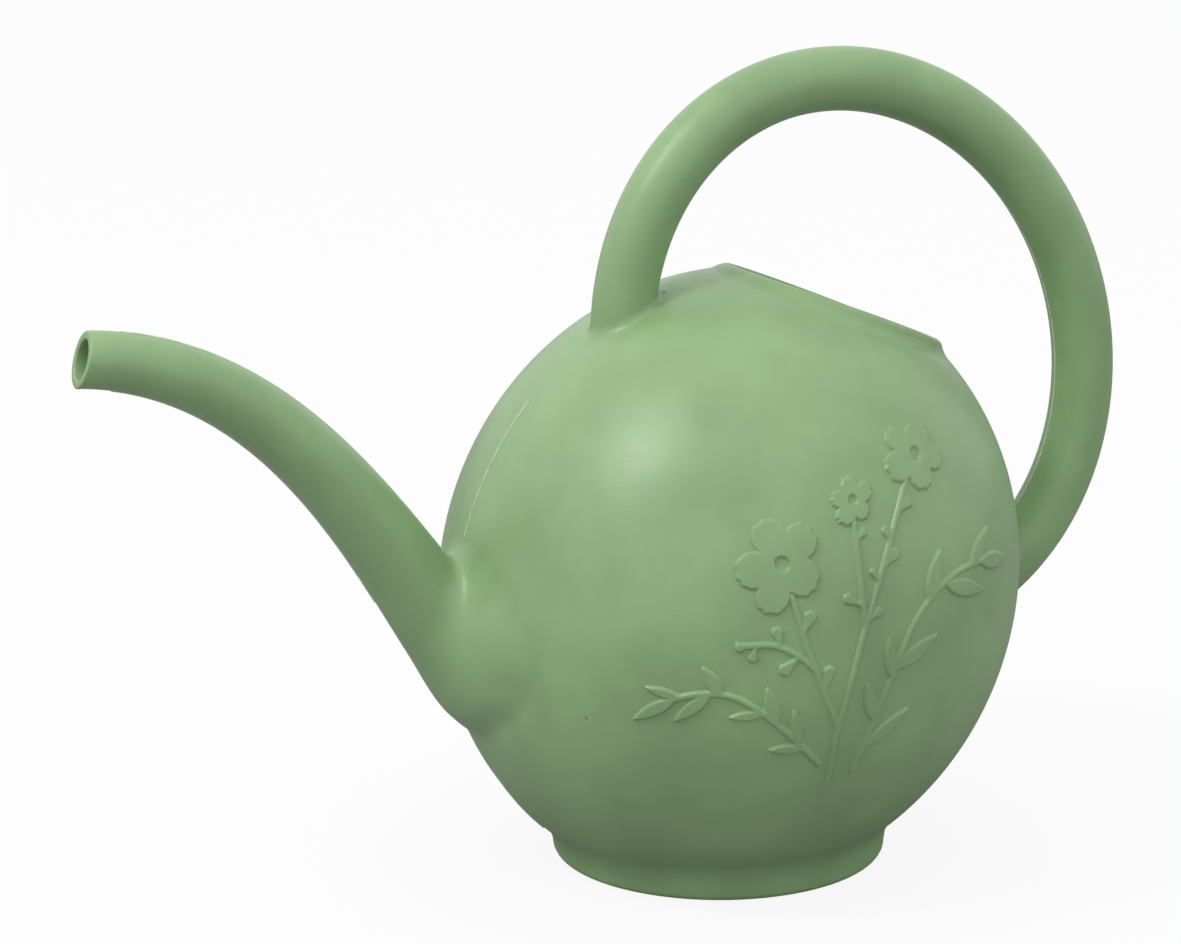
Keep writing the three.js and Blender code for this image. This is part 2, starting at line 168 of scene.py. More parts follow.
class ReliefSizes(bpy.types.PropertyGroup):
    height: length("Height", 0.88 * MM, "Height of the raised flowers and leaves")
    slope: length("Slope", 0.85 * MM, "Width of the soft slope round them")
    stem: length("Stem width", 1.7 * MM, "Width of a stem at half its height")
    cell: length("Mesh cell", 0.28 * MM, "Size of a facet of the decoration")
    bead: length("Parting bead", 0.36 * MM, "Radius of the flash left along the parting line")


class Colours(bpy.types.PropertyGroup):
    green: tint("Green", "#8AAB7A", "The pigment of the moulded polyethylene")
    # A pale tint painted along the parting bead as its highlight, not a colour of the plastic itself
    flash_highlight: tint("Trimmed flash", "#DDEBD5", "Polyethylene that a blade has whitened")
    speck: tint("Speck", "#4F6047", "Burnt specks and dirt in the surface")
    floor: tint("Floor", "#E8E8E8", "The floor as the camera sees it")


class WateringCan(bpy.types.PropertyGroup):
    body: PointerProperty(type=BodySizes)
    foot: PointerProperty(type=FootSizes)
    collar: PointerProperty(type=CollarSizes)
    spout: PointerProperty(type=SpoutSizes)
    handle: PointerProperty(type=HandleSizes)
    relief: PointerProperty(type=ReliefSizes)
    colours: PointerProperty(type=Colours)
    sides: IntProperty(
        name="Sides", default=96, min=12, description="Facets round a tube, a collar or a foot"
    )


def can():
    return bpy.context.scene.watering_can


# ---------------------------------------------------------------- centrelines


class Centreline:
    """A curve in the can's upright middle plane. at() gives x and z, or their derivatives."""

    SAMPLES = 72
    ROUNDS = 4
    CHUNK = 20000  # points worked on at a time, to spare memory
    HALVINGS = 40

    def heading(self, t):
        dx, dz = self.at(t, 1)
        size = np.hypot(dx, dz)
        return dx / size, dz / size

    def nearest(self, x, z):
        """The curve's parameter nearest to each x and z."""
        samples = np.linspace(self.start, self.end, self.SAMPLES)
        sx, sz = self.at(samples)
        t = np.empty_like(x)
        for i in range(0, len(x), self.CHUNK):
            part = slice(i, i + self.CHUNK)
            away = (x[part, None] - sx) ** 2 + (z[part, None] - sz) ** 2
            t[part] = samples[np.argmin(away, axis=1)]
        longest = abs(samples[1] - samples[0])
        for _ in range(self.ROUNDS):
            px, pz = self.at(t)
            dx, dz = self.at(t, 1)
            bx, bz = self.at(t, 2)
            ahead = (x - px) * dx + (z - pz) * dz
            bend = dx * dx + dz * dz - (x - px) * bx - (z - pz) * bz
            step = ahead / np.maximum(bend, 0.1 * (dx * dx + dz * dz))
            t = np.clip(t + np.clip(step, -longest, longest), self.start, self.end)
        return t

    def crossing(self, field, inner, outer):
        """Where the curve leaves a field, between a parameter inside it and one outside."""
        for _ in range(self.HALVINGS):
            middle = (inner + outer) / 2
            x, z = self.at(np.array([middle]))
            if field(x, np.zeros(1), z)[0] < 0:
                inner = middle
            else:
                outer = middle
        return middle


class SwanNeck(Centreline):
    """The spout's centreline: one cubic curve from the mouth to the root, and straight past it.

    Its four points are x and z over the middle of the foot."""

    MOUTH = np.array([-200.7, 176.5]) * MM
    CROOK = np.array([-130.8, 170.7]) * MM  # levels the neck behind the mouth
    SHOULDER = np.array([-102.5, 90.9]) * MM  # lifts the neck off the body
    ROOT = np.array([-79, 68]) * MM

    def __init__(self):
        offset = np.array([FOOT_MIDDLE, 0])
        mouth, crook, shoulder, root = (
            p + offset for p in (self.MOUTH, self.CROOK, self.SHOULDER, self.ROOT)
        )
        self.powers = [
            mouth,
            3 * (crook - mouth),
            3 * (mouth - 2 * crook + shoulder),
            root - mouth + 3 * (crook - shoulder),
        ]
        self.start, self.end = -0.05, 1.2

    def at(self, t, order=0):
        a, b, c, d = self.powers
        bent = np.minimum(t, 1)
        slope = tuple(b[i] + bent * (2 * c[i] + 3 * bent * d[i]) for i in (0, 1))
        if order == 1:
            return slope
        if order == 2:
            return tuple(np.where(t < 1, 2 * c[i] + 6 * t * d[i], 0) for i in (0, 1))
        bend = (a[i] + bent * (b[i] + bent * (c[i] + bent * d[i])) for i in (0, 1))
        return tuple(point + (t - bent) * slope[i] for i, point in enumerate(bend))


class Hoop(Centreline):
    """The handle's centreline: most of an ellipse, from the back of the body to its front."""

    def __init__(self, sizes):
        self.sizes = sizes
        self.start, self.end = math.radians(-100), math.radians(150)

    def at(self, t, order=0):
        s = self.sizes
        along = s.short * np.cos(t + order * math.pi / 2)
        across = s.long * np.sin(t + order * math.pi / 2)
        x = along * math.cos(s.turn) - across * math.sin(s.turn)
        z = along * math.sin(s.turn) + across * math.cos(s.turn)
        return (x + s.centre_x, z + s.centre_z) if order == 0 else (x, z)


# ---------------------------------------------------------------- the moulded skin


def blended(a, b, fillet):
    """The union of two fields, with a fillet of about that radius where they meet."""
    near = np.maximum(fillet - np.abs(a - b), 0) / fillet
    return np.minimum(a, b) - near * near * fillet / 4


def oval(distances, half_axes):
    """Distance from an oval or egg, exact at its skin."""
    tiny = 1e-12
    near = sum((d / h) ** 2 for d, h in zip(distances, half_axes))
    steep = sum((d / h**2) ** 2 for d, h in zip(distances, half_axes))
    reach = np.sqrt(near)
    return reach * (reach - 1) / np.sqrt(steep + tiny)


def rounded_corner(a, b, radius):
    """The inside of two faces, with a rounded edge between them."""
    a, b = a + radius, b + radius
    outside = np.sqrt(np.maximum(a, 0) ** 2 + np.maximum(b, 0) ** 2)
    return outside + np.minimum(np.maximum(a, b), 0) - radius


class Skin:
    """The can's outer skin as a field, with the shapes that it is made of."""

    STEP = 0.02 * MM

    def __init__(self):
        self.can = can()
        self.neck = SwanNeck()
        self.hoop = Hoop(self.can.handle)

    def body_axes(self, x, z):
        """How far along the body's leaning axis, and how far across it, x and z are."""
        body = self.can.body
        dx, dz = x - body.centre_x, z - body.centre_z
        sine, cosine = math.sin(body.lean), math.cos(body.lean)
        return dx * sine + dz * cosine, dx * cosine - dz * sine

    def body(self, x, y, z):
        body = self.can.body
        along, across = self.body_axes(x, z)
        return oval((along, across, y), (body.pole, body.radius, body.radius))

    def foot(self, x, y, z):
        foot = self.can.foot
        radius = foot.radius - foot.taper * (1 - z / foot.height)
        side = np.hypot(x - FOOT_MIDDLE, y) - radius
        return np.maximum(rounded_corner(side, -z, foot.edge), z - 2 * foot.height)

    def lip_lift(self, across, y):
        """How far the lip stands over its plain height: it is trimmed at a slant and dips."""
        collar = self.can.collar
        return -collar.slant * y / collar.radius - collar.dip * (across / collar.radius) ** 2

    def collar(self, x, y, z):
        collar = self.can.collar
        along, across = self.body_axes(x, z)
        side = np.hypot(across, y) - collar.radius
        height = along - collar.top - self.lip_lift(across, y)
        upright = rounded_corner(side, height, collar.lip)
        return np.maximum(upright, self.can.body.pole / 2 - along)

    def spout_radius(self, t):
        spout = self.can.spout
        LATE = 2.2  # the swell comes late along the neck
        NARROWING = 0.8  # inside the body
        radius = spout.tip_radius + spout.taper * t + spout.swell * np.maximum(t, 0) ** LATE
        return radius * (1 - NARROWING * np.maximum(t - 1, 0))

    def tube(self, path, x, y, z, radius):
        flat_x, flat_z = np.broadcast_arrays(x, z)
        shape = flat_x.shape
        t = path.nearest(flat_x.ravel(), flat_z.ravel()).reshape(shape)
        px, pz = path.at(t)
        return np.sqrt((flat_x - px) ** 2 + (flat_z - pz) ** 2 + y**2) - radius(t)

    def spout(self, x, y, z):
        """The spout's tube, and the broad bulb that it swells into where it leaves the body."""
        SWELLING = 9 * MM
        spout = self.can.spout
        bulb = oval(
            (x - spout.bulb_x, y, z - spout.bulb_z),
            (spout.bulb_depth, spout.bulb_width, spout.bulb_height),
        )
        return blended(self.tube(self.neck, x, y, z, self.spout_radius), bulb, SWELLING)

    def handle_radius(self, t):
        return np.full_like(t, self.can.handle.radius)

    def handle(self, x, y, z):
        return self.tube(self.hoop, x, y, z, self.handle_radius)

    def spout_fillet(self, z):
        """The root's crease is tight underneath and softer on top."""
        TIGHT, SOFT = 1.6 * MM, 5 * MM
        TIGHT_BELOW, RISE = 52 * MM, 25 * MM
        height = np.clip((z - TIGHT_BELOW) / RISE, 0, 1)
        return TIGHT + (SOFT - TIGHT) * height

    def field(self, x, y, z):
        sizes = self.can
        skin = blended(self.body(x, y, z), self.foot(x, y, z), sizes.foot.fillet)
        skin = blended(skin, self.collar(x, y, z), sizes.collar.fillet)
        skin = blended(skin, self.handle(x, y, z), sizes.handle.fillet)
        return blended(skin, self.spout(x, y, z), self.spout_fillet(z))

    def value(self, points):
        return self.field(*points.T)

    def slope(self, points):
        """The gradient of the field, which points out of the skin."""
        step = np.eye(3) * self.STEP
        sides = [self.value(points + s) - self.value(points - s) for s in step]
        return np.stack(sides, axis=1) / (2 * self.STEP)

    def normals(self, points):
        slope = self.slope(points)
        return slope / np.linalg.norm(slope, axis=1, keepdims=True)

    def settled(self, points, rounds=3):
        """The points moved onto the skin."""
        FLATTEST = 0.05  # keeps a step short where the field has almost no slope
        for _ in range(rounds):
            slope = self.slope(points)
            steep = np.maximum((slope**2).sum(axis=1), FLATTEST)
            points = points - (self.value(points) / steep)[:, None] * slope
        return points

    def cast(self, origins, directions, guess):
        """Where rays that start inside the skin first leave it."""
        FARTHEST, TRIES, HALVINGS = 6, 40, 22
        reaches = np.geomspace(0.5 * guess, FARTHEST * guess, TRIES)
        inside = np.full(len(origins), 0.1 * guess)
        outside = np.full(len(origins), FARTHEST * guess)
        waiting = np.ones(len(origins), bool)
        for reach in reaches:
            out = self.value(origins[waiting] + reach * directions[waiting]) > 0
            index = np.flatnonzero(waiting)
            outside[index[out]] = reach
            inside[index[~out]] = reach
            waiting[index[out]] = False
            if not waiting.any():
                break
        for _ in range(HALVINGS):
            middle = (inside + outside) / 2
            out = self.value(origins + middle[:, None] * directions) > 0
            outside = np.where(out, middle, outside)
            inside = np.where(out, inside, middle)
        return origins + middle[:, None] * directions


def skin_sheet(field, low, high, cell):
    """The zero surface of a field inside a box, as points and quads: one point in each cell that
    the surface crosses, and one quad round each grid edge that it crosses."""
    axes = [np.arange(a, b + cell, cell) for a, b in zip(low, high)]
    grids = np.meshgrid(*axes, indexing="ij", sparse=True)
    values = np.asarray(field(*grids))
    inside = values < 0
    counts = [n - 1 for n in inside.shape]
    corners = [(i, j, k) for i in (0, 1) for j in (0, 1) for k in (0, 1)]
    inner_corners = sum(
        inside[i : i + counts[0], j : j + counts[1], k : k + counts[2]].astype(np.int8)
        for i, j, k in corners
    )
    crossed = (inner_corners > 0) & (inner_corners < len(corners))
    cells = np.argwhere(crossed)
    number = np.full(crossed.shape, -1)
    number[crossed] = np.arange(len(cells))

    total = np.zeros((len(cells), 3))
    hits = np.zeros(len(cells))
    for corner in corners:
        for axis in range(3):
            if corner[axis]:
                continue
            start = cells + corner
            end = start.copy()
            end[:, axis] += 1
            a, b = values[tuple(start.T)], values[tuple(end.T)]
            hit = (a < 0) != (b < 0)
            share = a[hit] / (a[hit] - b[hit])
            point = start[hit].astype(float)
            point[:, axis] += share
            total[hit] += point
            hits[hit] += 1
    points = total / hits[:, None] * cell + [a[0] for a in axes]

    quads = []
    for axis in range(3):
        u, v = (axis + 1) % 3, (axis + 2) % 3
        a = np.moveaxis(inside, (axis, u, v), (0, 1, 2))
        cell_number = np.moveaxis(number, (axis, u, v), (0, 1, 2))
        leaves = a[:-1, 1:-1, 1:-1] & ~a[1:, 1:-1, 1:-1]
        enters = ~a[:-1, 1:-1, 1:-1] & a[1:, 1:-1, 1:-1]
        for crossing, order in ((leaves, (0, 1, 2, 3)), (enters, (3, 2, 1, 0))):
            i, j, k = np.nonzero(crossing)
            ring = [
                cell_number[i, j, k],
                cell_number[i, j + 1, k],
                cell_number[i, j + 1, k + 1],
                cell_number[i, j, k + 1],
            ]
            quads.append(np.stack([ring[n] for n in order], axis=1))
    return points, np.concatenate(quads)


# ---------------------------------------------------------------- pieces


def polygons_of(mesh):
    starts = np.zeros(len(mesh.polygons), int)
    sizes = np.zeros(len(mesh.polygons), int)
    mesh.polygons.foreach_get("loop_start", starts)
    mesh.polygons.foreach_get("loop_total", sizes)
    return starts, sizes


def vectors_of(items, attribute, count):
    values = np.zeros(count * 3)
    items.foreach_get(attribute, values)
    return values.reshape(-1, 3)


ON_SKIN = 0.03 * MM  # a point this near the skin takes its normal


def shade_as_skin(mesh, skin, wall=None):
    """Gives a mesh the moulded skin's own normals, so that pieces meet without a line.

    Faces that lie on the skin take its normals. With a wall, the faces of the inner side take the
    same normals turned round, and the faces across the wall are flat."""
    points = vectors_of(mesh.vertices, "co", len(mesh.vertices))
    depth = skin.value(points)
    outer = np.abs(depth) < ON_SKIN
    mesh.shade_smooth()
    loops = np.zeros(len(mesh.loops), int)
    mesh.loops.foreach_get("vertex_index", loops)
    starts, sizes = polygons_of(mesh)
    owner = np.repeat(np.arange(len(sizes)), sizes)
    outer_face = np.minimum.reduceat(outer[loops], starts)
    normals = vectors_of(mesh.corner_normals, "vector", len(mesh.loops))
    skin_normals = skin.normals(points)
    on_outer = outer_face[owner]
    normals[on_outer] = skin_normals[loops][on_outer]
    if wall:
        inner = depth < -wall / 2
        inner_face = np.minimum.reduceat(inner[loops], starts)
        on_inner = inner_face[owner]
        normals[on_inner] = -skin_normals[loops][on_inner]
        flat = ~(on_outer | on_inner)
        face_normals = vectors_of(mesh.polygons, "normal", len(mesh.polygons))
        normals[flat] = face_normals[owner][flat]
    mesh.normals_split_custom_set(normals.tolist())


def add_piece(name, mesh, nodes=(), material=None):
    """Puts a finished mesh in the scene as a piece of the can that stands for its CAD nodes."""
    mesh.name = name
    mesh.materials.clear()
    mesh.materials.append(material or moulded_polyethylene())
    piece = bpy.data.objects.new(name, mesh)
    bpy.context.scene.collection.objects.link(piece)
    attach(piece, "root")
    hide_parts(*nodes)
    return piece


def mesh_of(points, faces):
    """A mesh from an array of points and a list of faces."""
    mesh = bpy.data.meshes.new("piece")
    mesh.from_pydata(points.tolist(), [], faces)
    mesh.update()
    return mesh


def add_skin_piece(name, skin, points, faces, wall=None):
    """Adds a closed piece that is shaded as the moulded skin and stands for its own CAD node."""
    mesh = mesh_of(points, faces)
    outward(mesh)
    shade_as_skin(mesh, skin, wall)
    add_piece(name, mesh, [name])


def shell_of(points, faces, normals, wall):
    """A closed wall under a sheet: the sheet, the same sheet moved in, and the rim that joins them."""
    count = len(points)
    size = faces.shape[1]
    edges = np.concatenate([faces[:, [i, (i + 1) % size]] for i in range(size)])
    key = edges[:, 0] * count + edges[:, 1]
    back = edges[:, 1] * count + edges[:, 0]
    rim = edges[~np.isin(key, back)]
    across = np.stack([rim[:, 1], rim[:, 0], rim[:, 0] + count, rim[:, 1] + count], axis=1)
    inner = faces[:, ::-1] + count
    closed = faces.tolist() + inner.tolist() + across.tolist()
    return np.concatenate([points, points - wall * normals]), closed


def ring_solid(rings):
    """A closed solid from rings of as many points each, which follow each other round its wall."""
    count, sides = len(rings), len(rings[0])
    rows = np.arange(count)[:, None]
    around = np.arange(sides)[None, :]
    here, ahead = rows * sides, (rows + 1) % count * sides
    beside = (around + 1) % sides
    quads = np.stack([here + around, here + beside, ahead + beside, ahead + around], axis=-1)
    return np.concatenate(rings), quads.reshape(-1, 4).tolist()


def quarter_turn(bends, first=0):
    """The cosine and sine of each step round a rounded edge."""
    for step in range(first, bends + 1):
        angle = step / bends * math.pi / 2
        yield math.cos(angle), math.sin(angle)


def ring_directions(normal, sides):
    """Unit directions round a ring in a plane that holds the Y axis, and the plane's normal in XZ."""
    angles = np.arange(sides) * 2 * math.pi / sides
    inward = np.array([-normal[1], 0, normal[0]])
    return np.cos(angles)[:, None] * inward + np.sin(angles)[:, None] * np.array([0, 1, 0])


def root_plane(skin, path, inner, outer, lift):
    """The plane that parts a tube from the body, just clear of the body's own skin: its point, its
    normal in XZ that points away from the body, and the curve's parameter there."""
    t = path.crossing(skin.body, inner, outer)
    x, z = path.at(np.array([t]))
    at_skin = np.array([x[0], 0, z[0]])
    step = np.eye(3)[[0, 2]] * skin.STEP
    normal = np.array(
        [float(skin.body(*(at_skin + s)) - skin.body(*(at_skin - s))) for s in step]
    )
    normal /= np.linalg.norm(normal)
    point = at_skin[[0, 2]] + lift * normal

    def beyond(x, y, z):
        return (x - point[0]) * normal[0] + (z - point[1]) * normal[1]

    return point, normal, path.crossing(beyond, inner, outer)


def lofted_rings(skin, path, start, end, guess, sides):
    """Rings on the skin round a path. start and end are each a parameter and a normal in XZ."""
    (t0, n0), (t1, n1) = start, end
    MEASURED_AT, FEWEST = 50, 4
    x, z = path.at(np.linspace(t0, t1, MEASURED_AT))
    count = max(FEWEST, int(np.hypot(np.diff(x), np.diff(z)).sum() / RING_SPACING))
    rings = []
    for share in np.linspace(0, 1, count + 1):
        t = t0 + (t1 - t0) * share
        x, z = path.at(np.array([t]))
        heading = np.array(path.heading(np.array([t])))[:, 0]
        heading *= np.sign(t1 - t0)
        eased = share * share * (3 - 2 * share)
        away = (1 - eased) * (n0 - heading) + eased * (n1 - heading)
        normal = heading + away
        normal /= np.linalg.norm(normal)
        directions = ring_directions(normal, sides)
        origins = np.repeat([[x[0], 0, z[0]]], sides, axis=0)
        rings.append(skin.cast(origins, directions, guess))
    return rings


def inside_rings(skin, rings, wall):
    """The rings of a tube's inside, from the last ring of its outside back to the first."""
    return [ring - wall * skin.normals(ring) for ring in reversed(rings)]


# ---------------------------------------------------------------- node trees


def add_node(tree, kind, inputs=None, **settings):
    """Adds a node with its settings. Each input is a value, or a socket to link from."""
    node = tree.nodes.new(kind)
    for name, value in settings.items():
        setattr(node, name, value)
    for name, value in (inputs or {}).items():
        if isinstance(value, bpy.types.NodeSocket):
            tree.links.new(value, node.inputs[name])
        else:
            node.inputs[name].default_value = value
    return node


def geometry_tree(name, inputs):
    """A geometry node group with a Geometry input and output, and named inputs."""
    tree = bpy.data.node_groups.new(name, "GeometryNodeTree")
    tree.interface.new_socket("Geometry", in_out="INPUT", socket_type="NodeSocketGeometry")
    for label, kind in inputs:
        tree.interface.new_socket(label, in_out="INPUT", socket_type=kind)
    tree.interface.new_socket("Geometry", in_out="OUTPUT", socket_type="NodeSocketGeometry")
    return tree, tree.nodes.new("NodeGroupInput").outputs


def finish_tree(tree, geometry, material):
    """Ends a tree in shade smooth, Realize Instances and Set Material."""
    smooth = add_node(tree, "GeometryNodeSetShadeSmooth", {"Geometry": geometry})
    real = add_node(tree, "GeometryNodeRealizeInstances", {"Geometry": smooth.outputs[0]})
    painted = add_node(
        tree, "GeometryNodeSetMaterial", {"Geometry": real.outputs[0], "Material": material}
    )
    add_node(tree, "NodeGroupOutput", {"Geometry": painted.outputs[0]})


def baked(points, edges, sizes, tree, values):
    """Runs a tree on lines of points that carry named sizes, and returns the mesh it makes."""
    mesh = bpy.data.meshes.new("path")
    mesh.from_pydata(points.tolist(), edges, [])
    for name, values_there in sizes.items():
        mesh.attributes.new(name, "FLOAT", "POINT").data.foreach_set("value", values_there)
    guide = bpy.data.objects.new("path", mesh)
    bpy.context.scene.collection.objects.link(guide)
    modifier = guide.modifiers.new("tree", "NODES")
    modifier.node_group = tree
    names = {s.name: s.identifier for s in tree.interface.items_tree if s.in_out == "INPUT"}
    for name, value in values.items():
        modifier[names[name]] = value
    graph = bpy.context.evaluated_depsgraph_get()
    result = bpy.data.meshes.new_from_object(guide.evaluated_get(graph))
    guide.modifiers.remove(modifier)
    bpy.data.objects.remove(guide)
    bpy.data.meshes.remove(mesh)
    if not result.polygons:
        raise RuntimeError(f"the tree {tree.name} made no faces")
    return result


def blown_tube_tree():
    """A closed hollow tube along a path whose points carry its outer radius.

    A grid is rolled up: its rows run out along the outside and back along the inside."""
    tree, given = geometry_tree(
        "blown_tube",
        [
            ("Wall", "NodeSocketFloat"),
            ("Rings", "NodeSocketInt"),
            ("Sides", "NodeSocketInt"),
            ("Material", "NodeSocketMaterial"),
        ],
    )

    def maths(operation, *values):
        node = add_node(tree, "ShaderNodeMath", dict(enumerate(values)), operation=operation)
        return node.outputs[0]

    def vector(operation, *values):
        inputs = dict(enumerate(values))
        if operation == "SCALE":
            inputs = {0: values[0], "Scale": values[1]}
        node = add_node(tree, "ShaderNodeVectorMath", inputs, operation=operation)
        return node.outputs[0]

    rows = maths("MULTIPLY", given["Rings"], 2.0)
    columns = maths("ADD", given["Sides"], 1.0)
    grid = add_node(
        tree,
        "GeometryNodeMeshGrid",
        {"Vertices X": maths("ADD", rows, 1.0), "Vertices Y": columns},
    )
    index = add_node(tree, "GeometryNodeInputIndex").outputs[0]
    row = maths("MODULO", maths("FLOOR", maths("DIVIDE", maths("ADD", index, 0.5), columns)), rows)
    side = maths("FLOORED_MODULO", index, columns)
    inside = maths("GREATER_THAN", row, maths("SUBTRACT", given["Rings"], 0.5))
    last = maths("SUBTRACT", given["Rings"], 1.0)
    back = maths("SUBTRACT", maths("SUBTRACT", rows, 1.0), row)
    outside = maths("SUBTRACT", 1.0, inside)
    step = maths("ADD", maths("MULTIPLY", inside, back), maths("MULTIPLY", outside, row))
    line = add_node(tree, "GeometryNodeMeshToCurve", {"Mesh": given["Geometry"]})
    radius = add_node(tree, "GeometryNodeInputNamedAttribute", {"Name": "radius"}).outputs[0]
    inputs = {"Curves": line.outputs[0], "Value": radius, "Factor": maths("DIVIDE", step, last)}
    sample = add_node(tree, "GeometryNodeSampleCurve", inputs, use_all_curves=True)
    angle = maths("MULTIPLY", maths("DIVIDE", side, given["Sides"]), 2 * math.pi)
    across = (0.0, 1.0, 0.0)
    upward = vector("CROSS_PRODUCT", sample.outputs["Tangent"], across)
    inset = maths("MULTIPLY", inside, given["Wall"])
    width = maths("SUBTRACT", sample.outputs["Value"], inset)
    offset = vector(
        "ADD",
        vector("SCALE", upward, maths("COSINE", angle)),
        vector("SCALE", across, maths("SINE", angle)),
    )
    where = vector("ADD", sample.outputs["Position"], vector("SCALE", offset, width))
    rolled = add_node(
        tree, "GeometryNodeSetPosition", {"Geometry": grid.outputs[0], "Position": where}
    )
    sealed = add_node(
        tree, "GeometryNodeMergeByDistance", {"Geometry": rolled.outputs[0], "Distance": 1e-6}
    )
    finish_tree(tree, sealed.outputs[0], given["Material"])
    return tree


def parting_bead_tree():
    """A thin round bead along each path, with closed ends."""
    tree, given = geometry_tree(
        "parting_bead", [("Radius", "NodeSocketFloat"), ("Material", "NodeSocketMaterial")]
    )
    profile = add_node(
        tree,
        "GeometryNodeCurvePrimitiveCircle",
        {"Resolution": 8, "Radius": given["Radius"]},
    )
    line = add_node(tree, "GeometryNodeMeshToCurve", {"Mesh": given["Geometry"]})
    bead = add_node(
        tree,
        "GeometryNodeCurveToMesh",
        {"Curve": line.outputs[0], "Profile Curve": profile.outputs[0], "Fill Caps": True},
    )
    finish_tree(tree, bead.outputs[0], given["Material"])
    return tree


def blown_tube(skin, path, start, end, radius_at, wall):
    """A stretch of hollow tube between two parameters of a path, made by the node tree."""
    POINTS = 400
    t = np.linspace(start, end, POINTS)
    x, z = path.at(t)
    points = np.stack([x, np.zeros(POINTS), z], axis=1)
    run = np.linalg.norm(np.diff(points, axis=0), axis=1).sum()
    edges = [(i, i + 1) for i in range(POINTS - 1)]
    values = {
        "Wall": wall,
        "Rings": int(run / RING_SPACING),
        "Sides": can().sides,
        "Material": moulded_polyethylene(),
    }
    mesh = baked(points, edges, {"radius": radius_at(t)}, blown_tube_tree(), values)
    outward(mesh)
    shade_as_skin(mesh, skin, wall)
    return mesh


def outward(mesh):
    """Turns a closed mesh's faces outwards."""
    shape = bmesh.new()
    shape.from_mesh(mesh)
    bmesh.ops.remove_doubles(shape, verts=shape.verts, dist=1e-7)
    if shape.calc_volume(signed=True) < 0:
        bmesh.ops.reverse_faces(shape, faces=shape.faces)
    shape.to_mesh(mesh)
    shape.free()


# ---------------------------------------------------------------- material


def opaque(colour):
    return tuple(colour) + (1,)


def mixed_colour(tree, share, first, second):
    """A colour between two, from the first at a share of 0 to the second at 1."""
    inputs = {0: share, 6: first, 7: second}
    return add_node(tree, "ShaderNodeMix", inputs, data_type="RGBA").outputs[2]


def blank_material(name):
    material = bpy.data.materials.new(name)
    material.use_nodes = True
    material.node_tree.nodes.clear()
    return material, material.node_tree


def flash_painted_highlight():
    """Polyethylene flash along the parting line, with a painted highlight: a pale colour streaked
    along it, so that it shows as a fine pale line."""
    NAME = "polyethylene_flash_painted_highlight"
    if NAME in bpy.data.materials:
        return bpy.data.materials[NAME]
    material, tree = blank_material(NAME)
    where = add_node(tree, "ShaderNodeTexCoord").outputs["Object"]
    LENGTH = 4 * MM  # the painted highlight comes and goes along the line
    highlight_streaks = add_node(tree, "ShaderNodeTexNoise", {"Vector": where, "Scale": 1 / LENGTH}).outputs[0]
    colours = can().colours
    # Painted highlight: the bead's colour streaks between the green and the pale tint
    colour = mixed_colour(tree, highlight_streaks, opaque(colours.green), opaque(colours.flash_highlight))
    shader = add_node(
        tree, "ShaderNodeBsdfPrincipled", {"Base Color": colour, "Roughness": 0.3, "IOR": 1.51}
    )
    add_node(tree, "ShaderNodeOutputMaterial", {"Surface": shader.outputs[0]})
    material.diffuse_color = opaque(colours.flash_highlight)
    return material


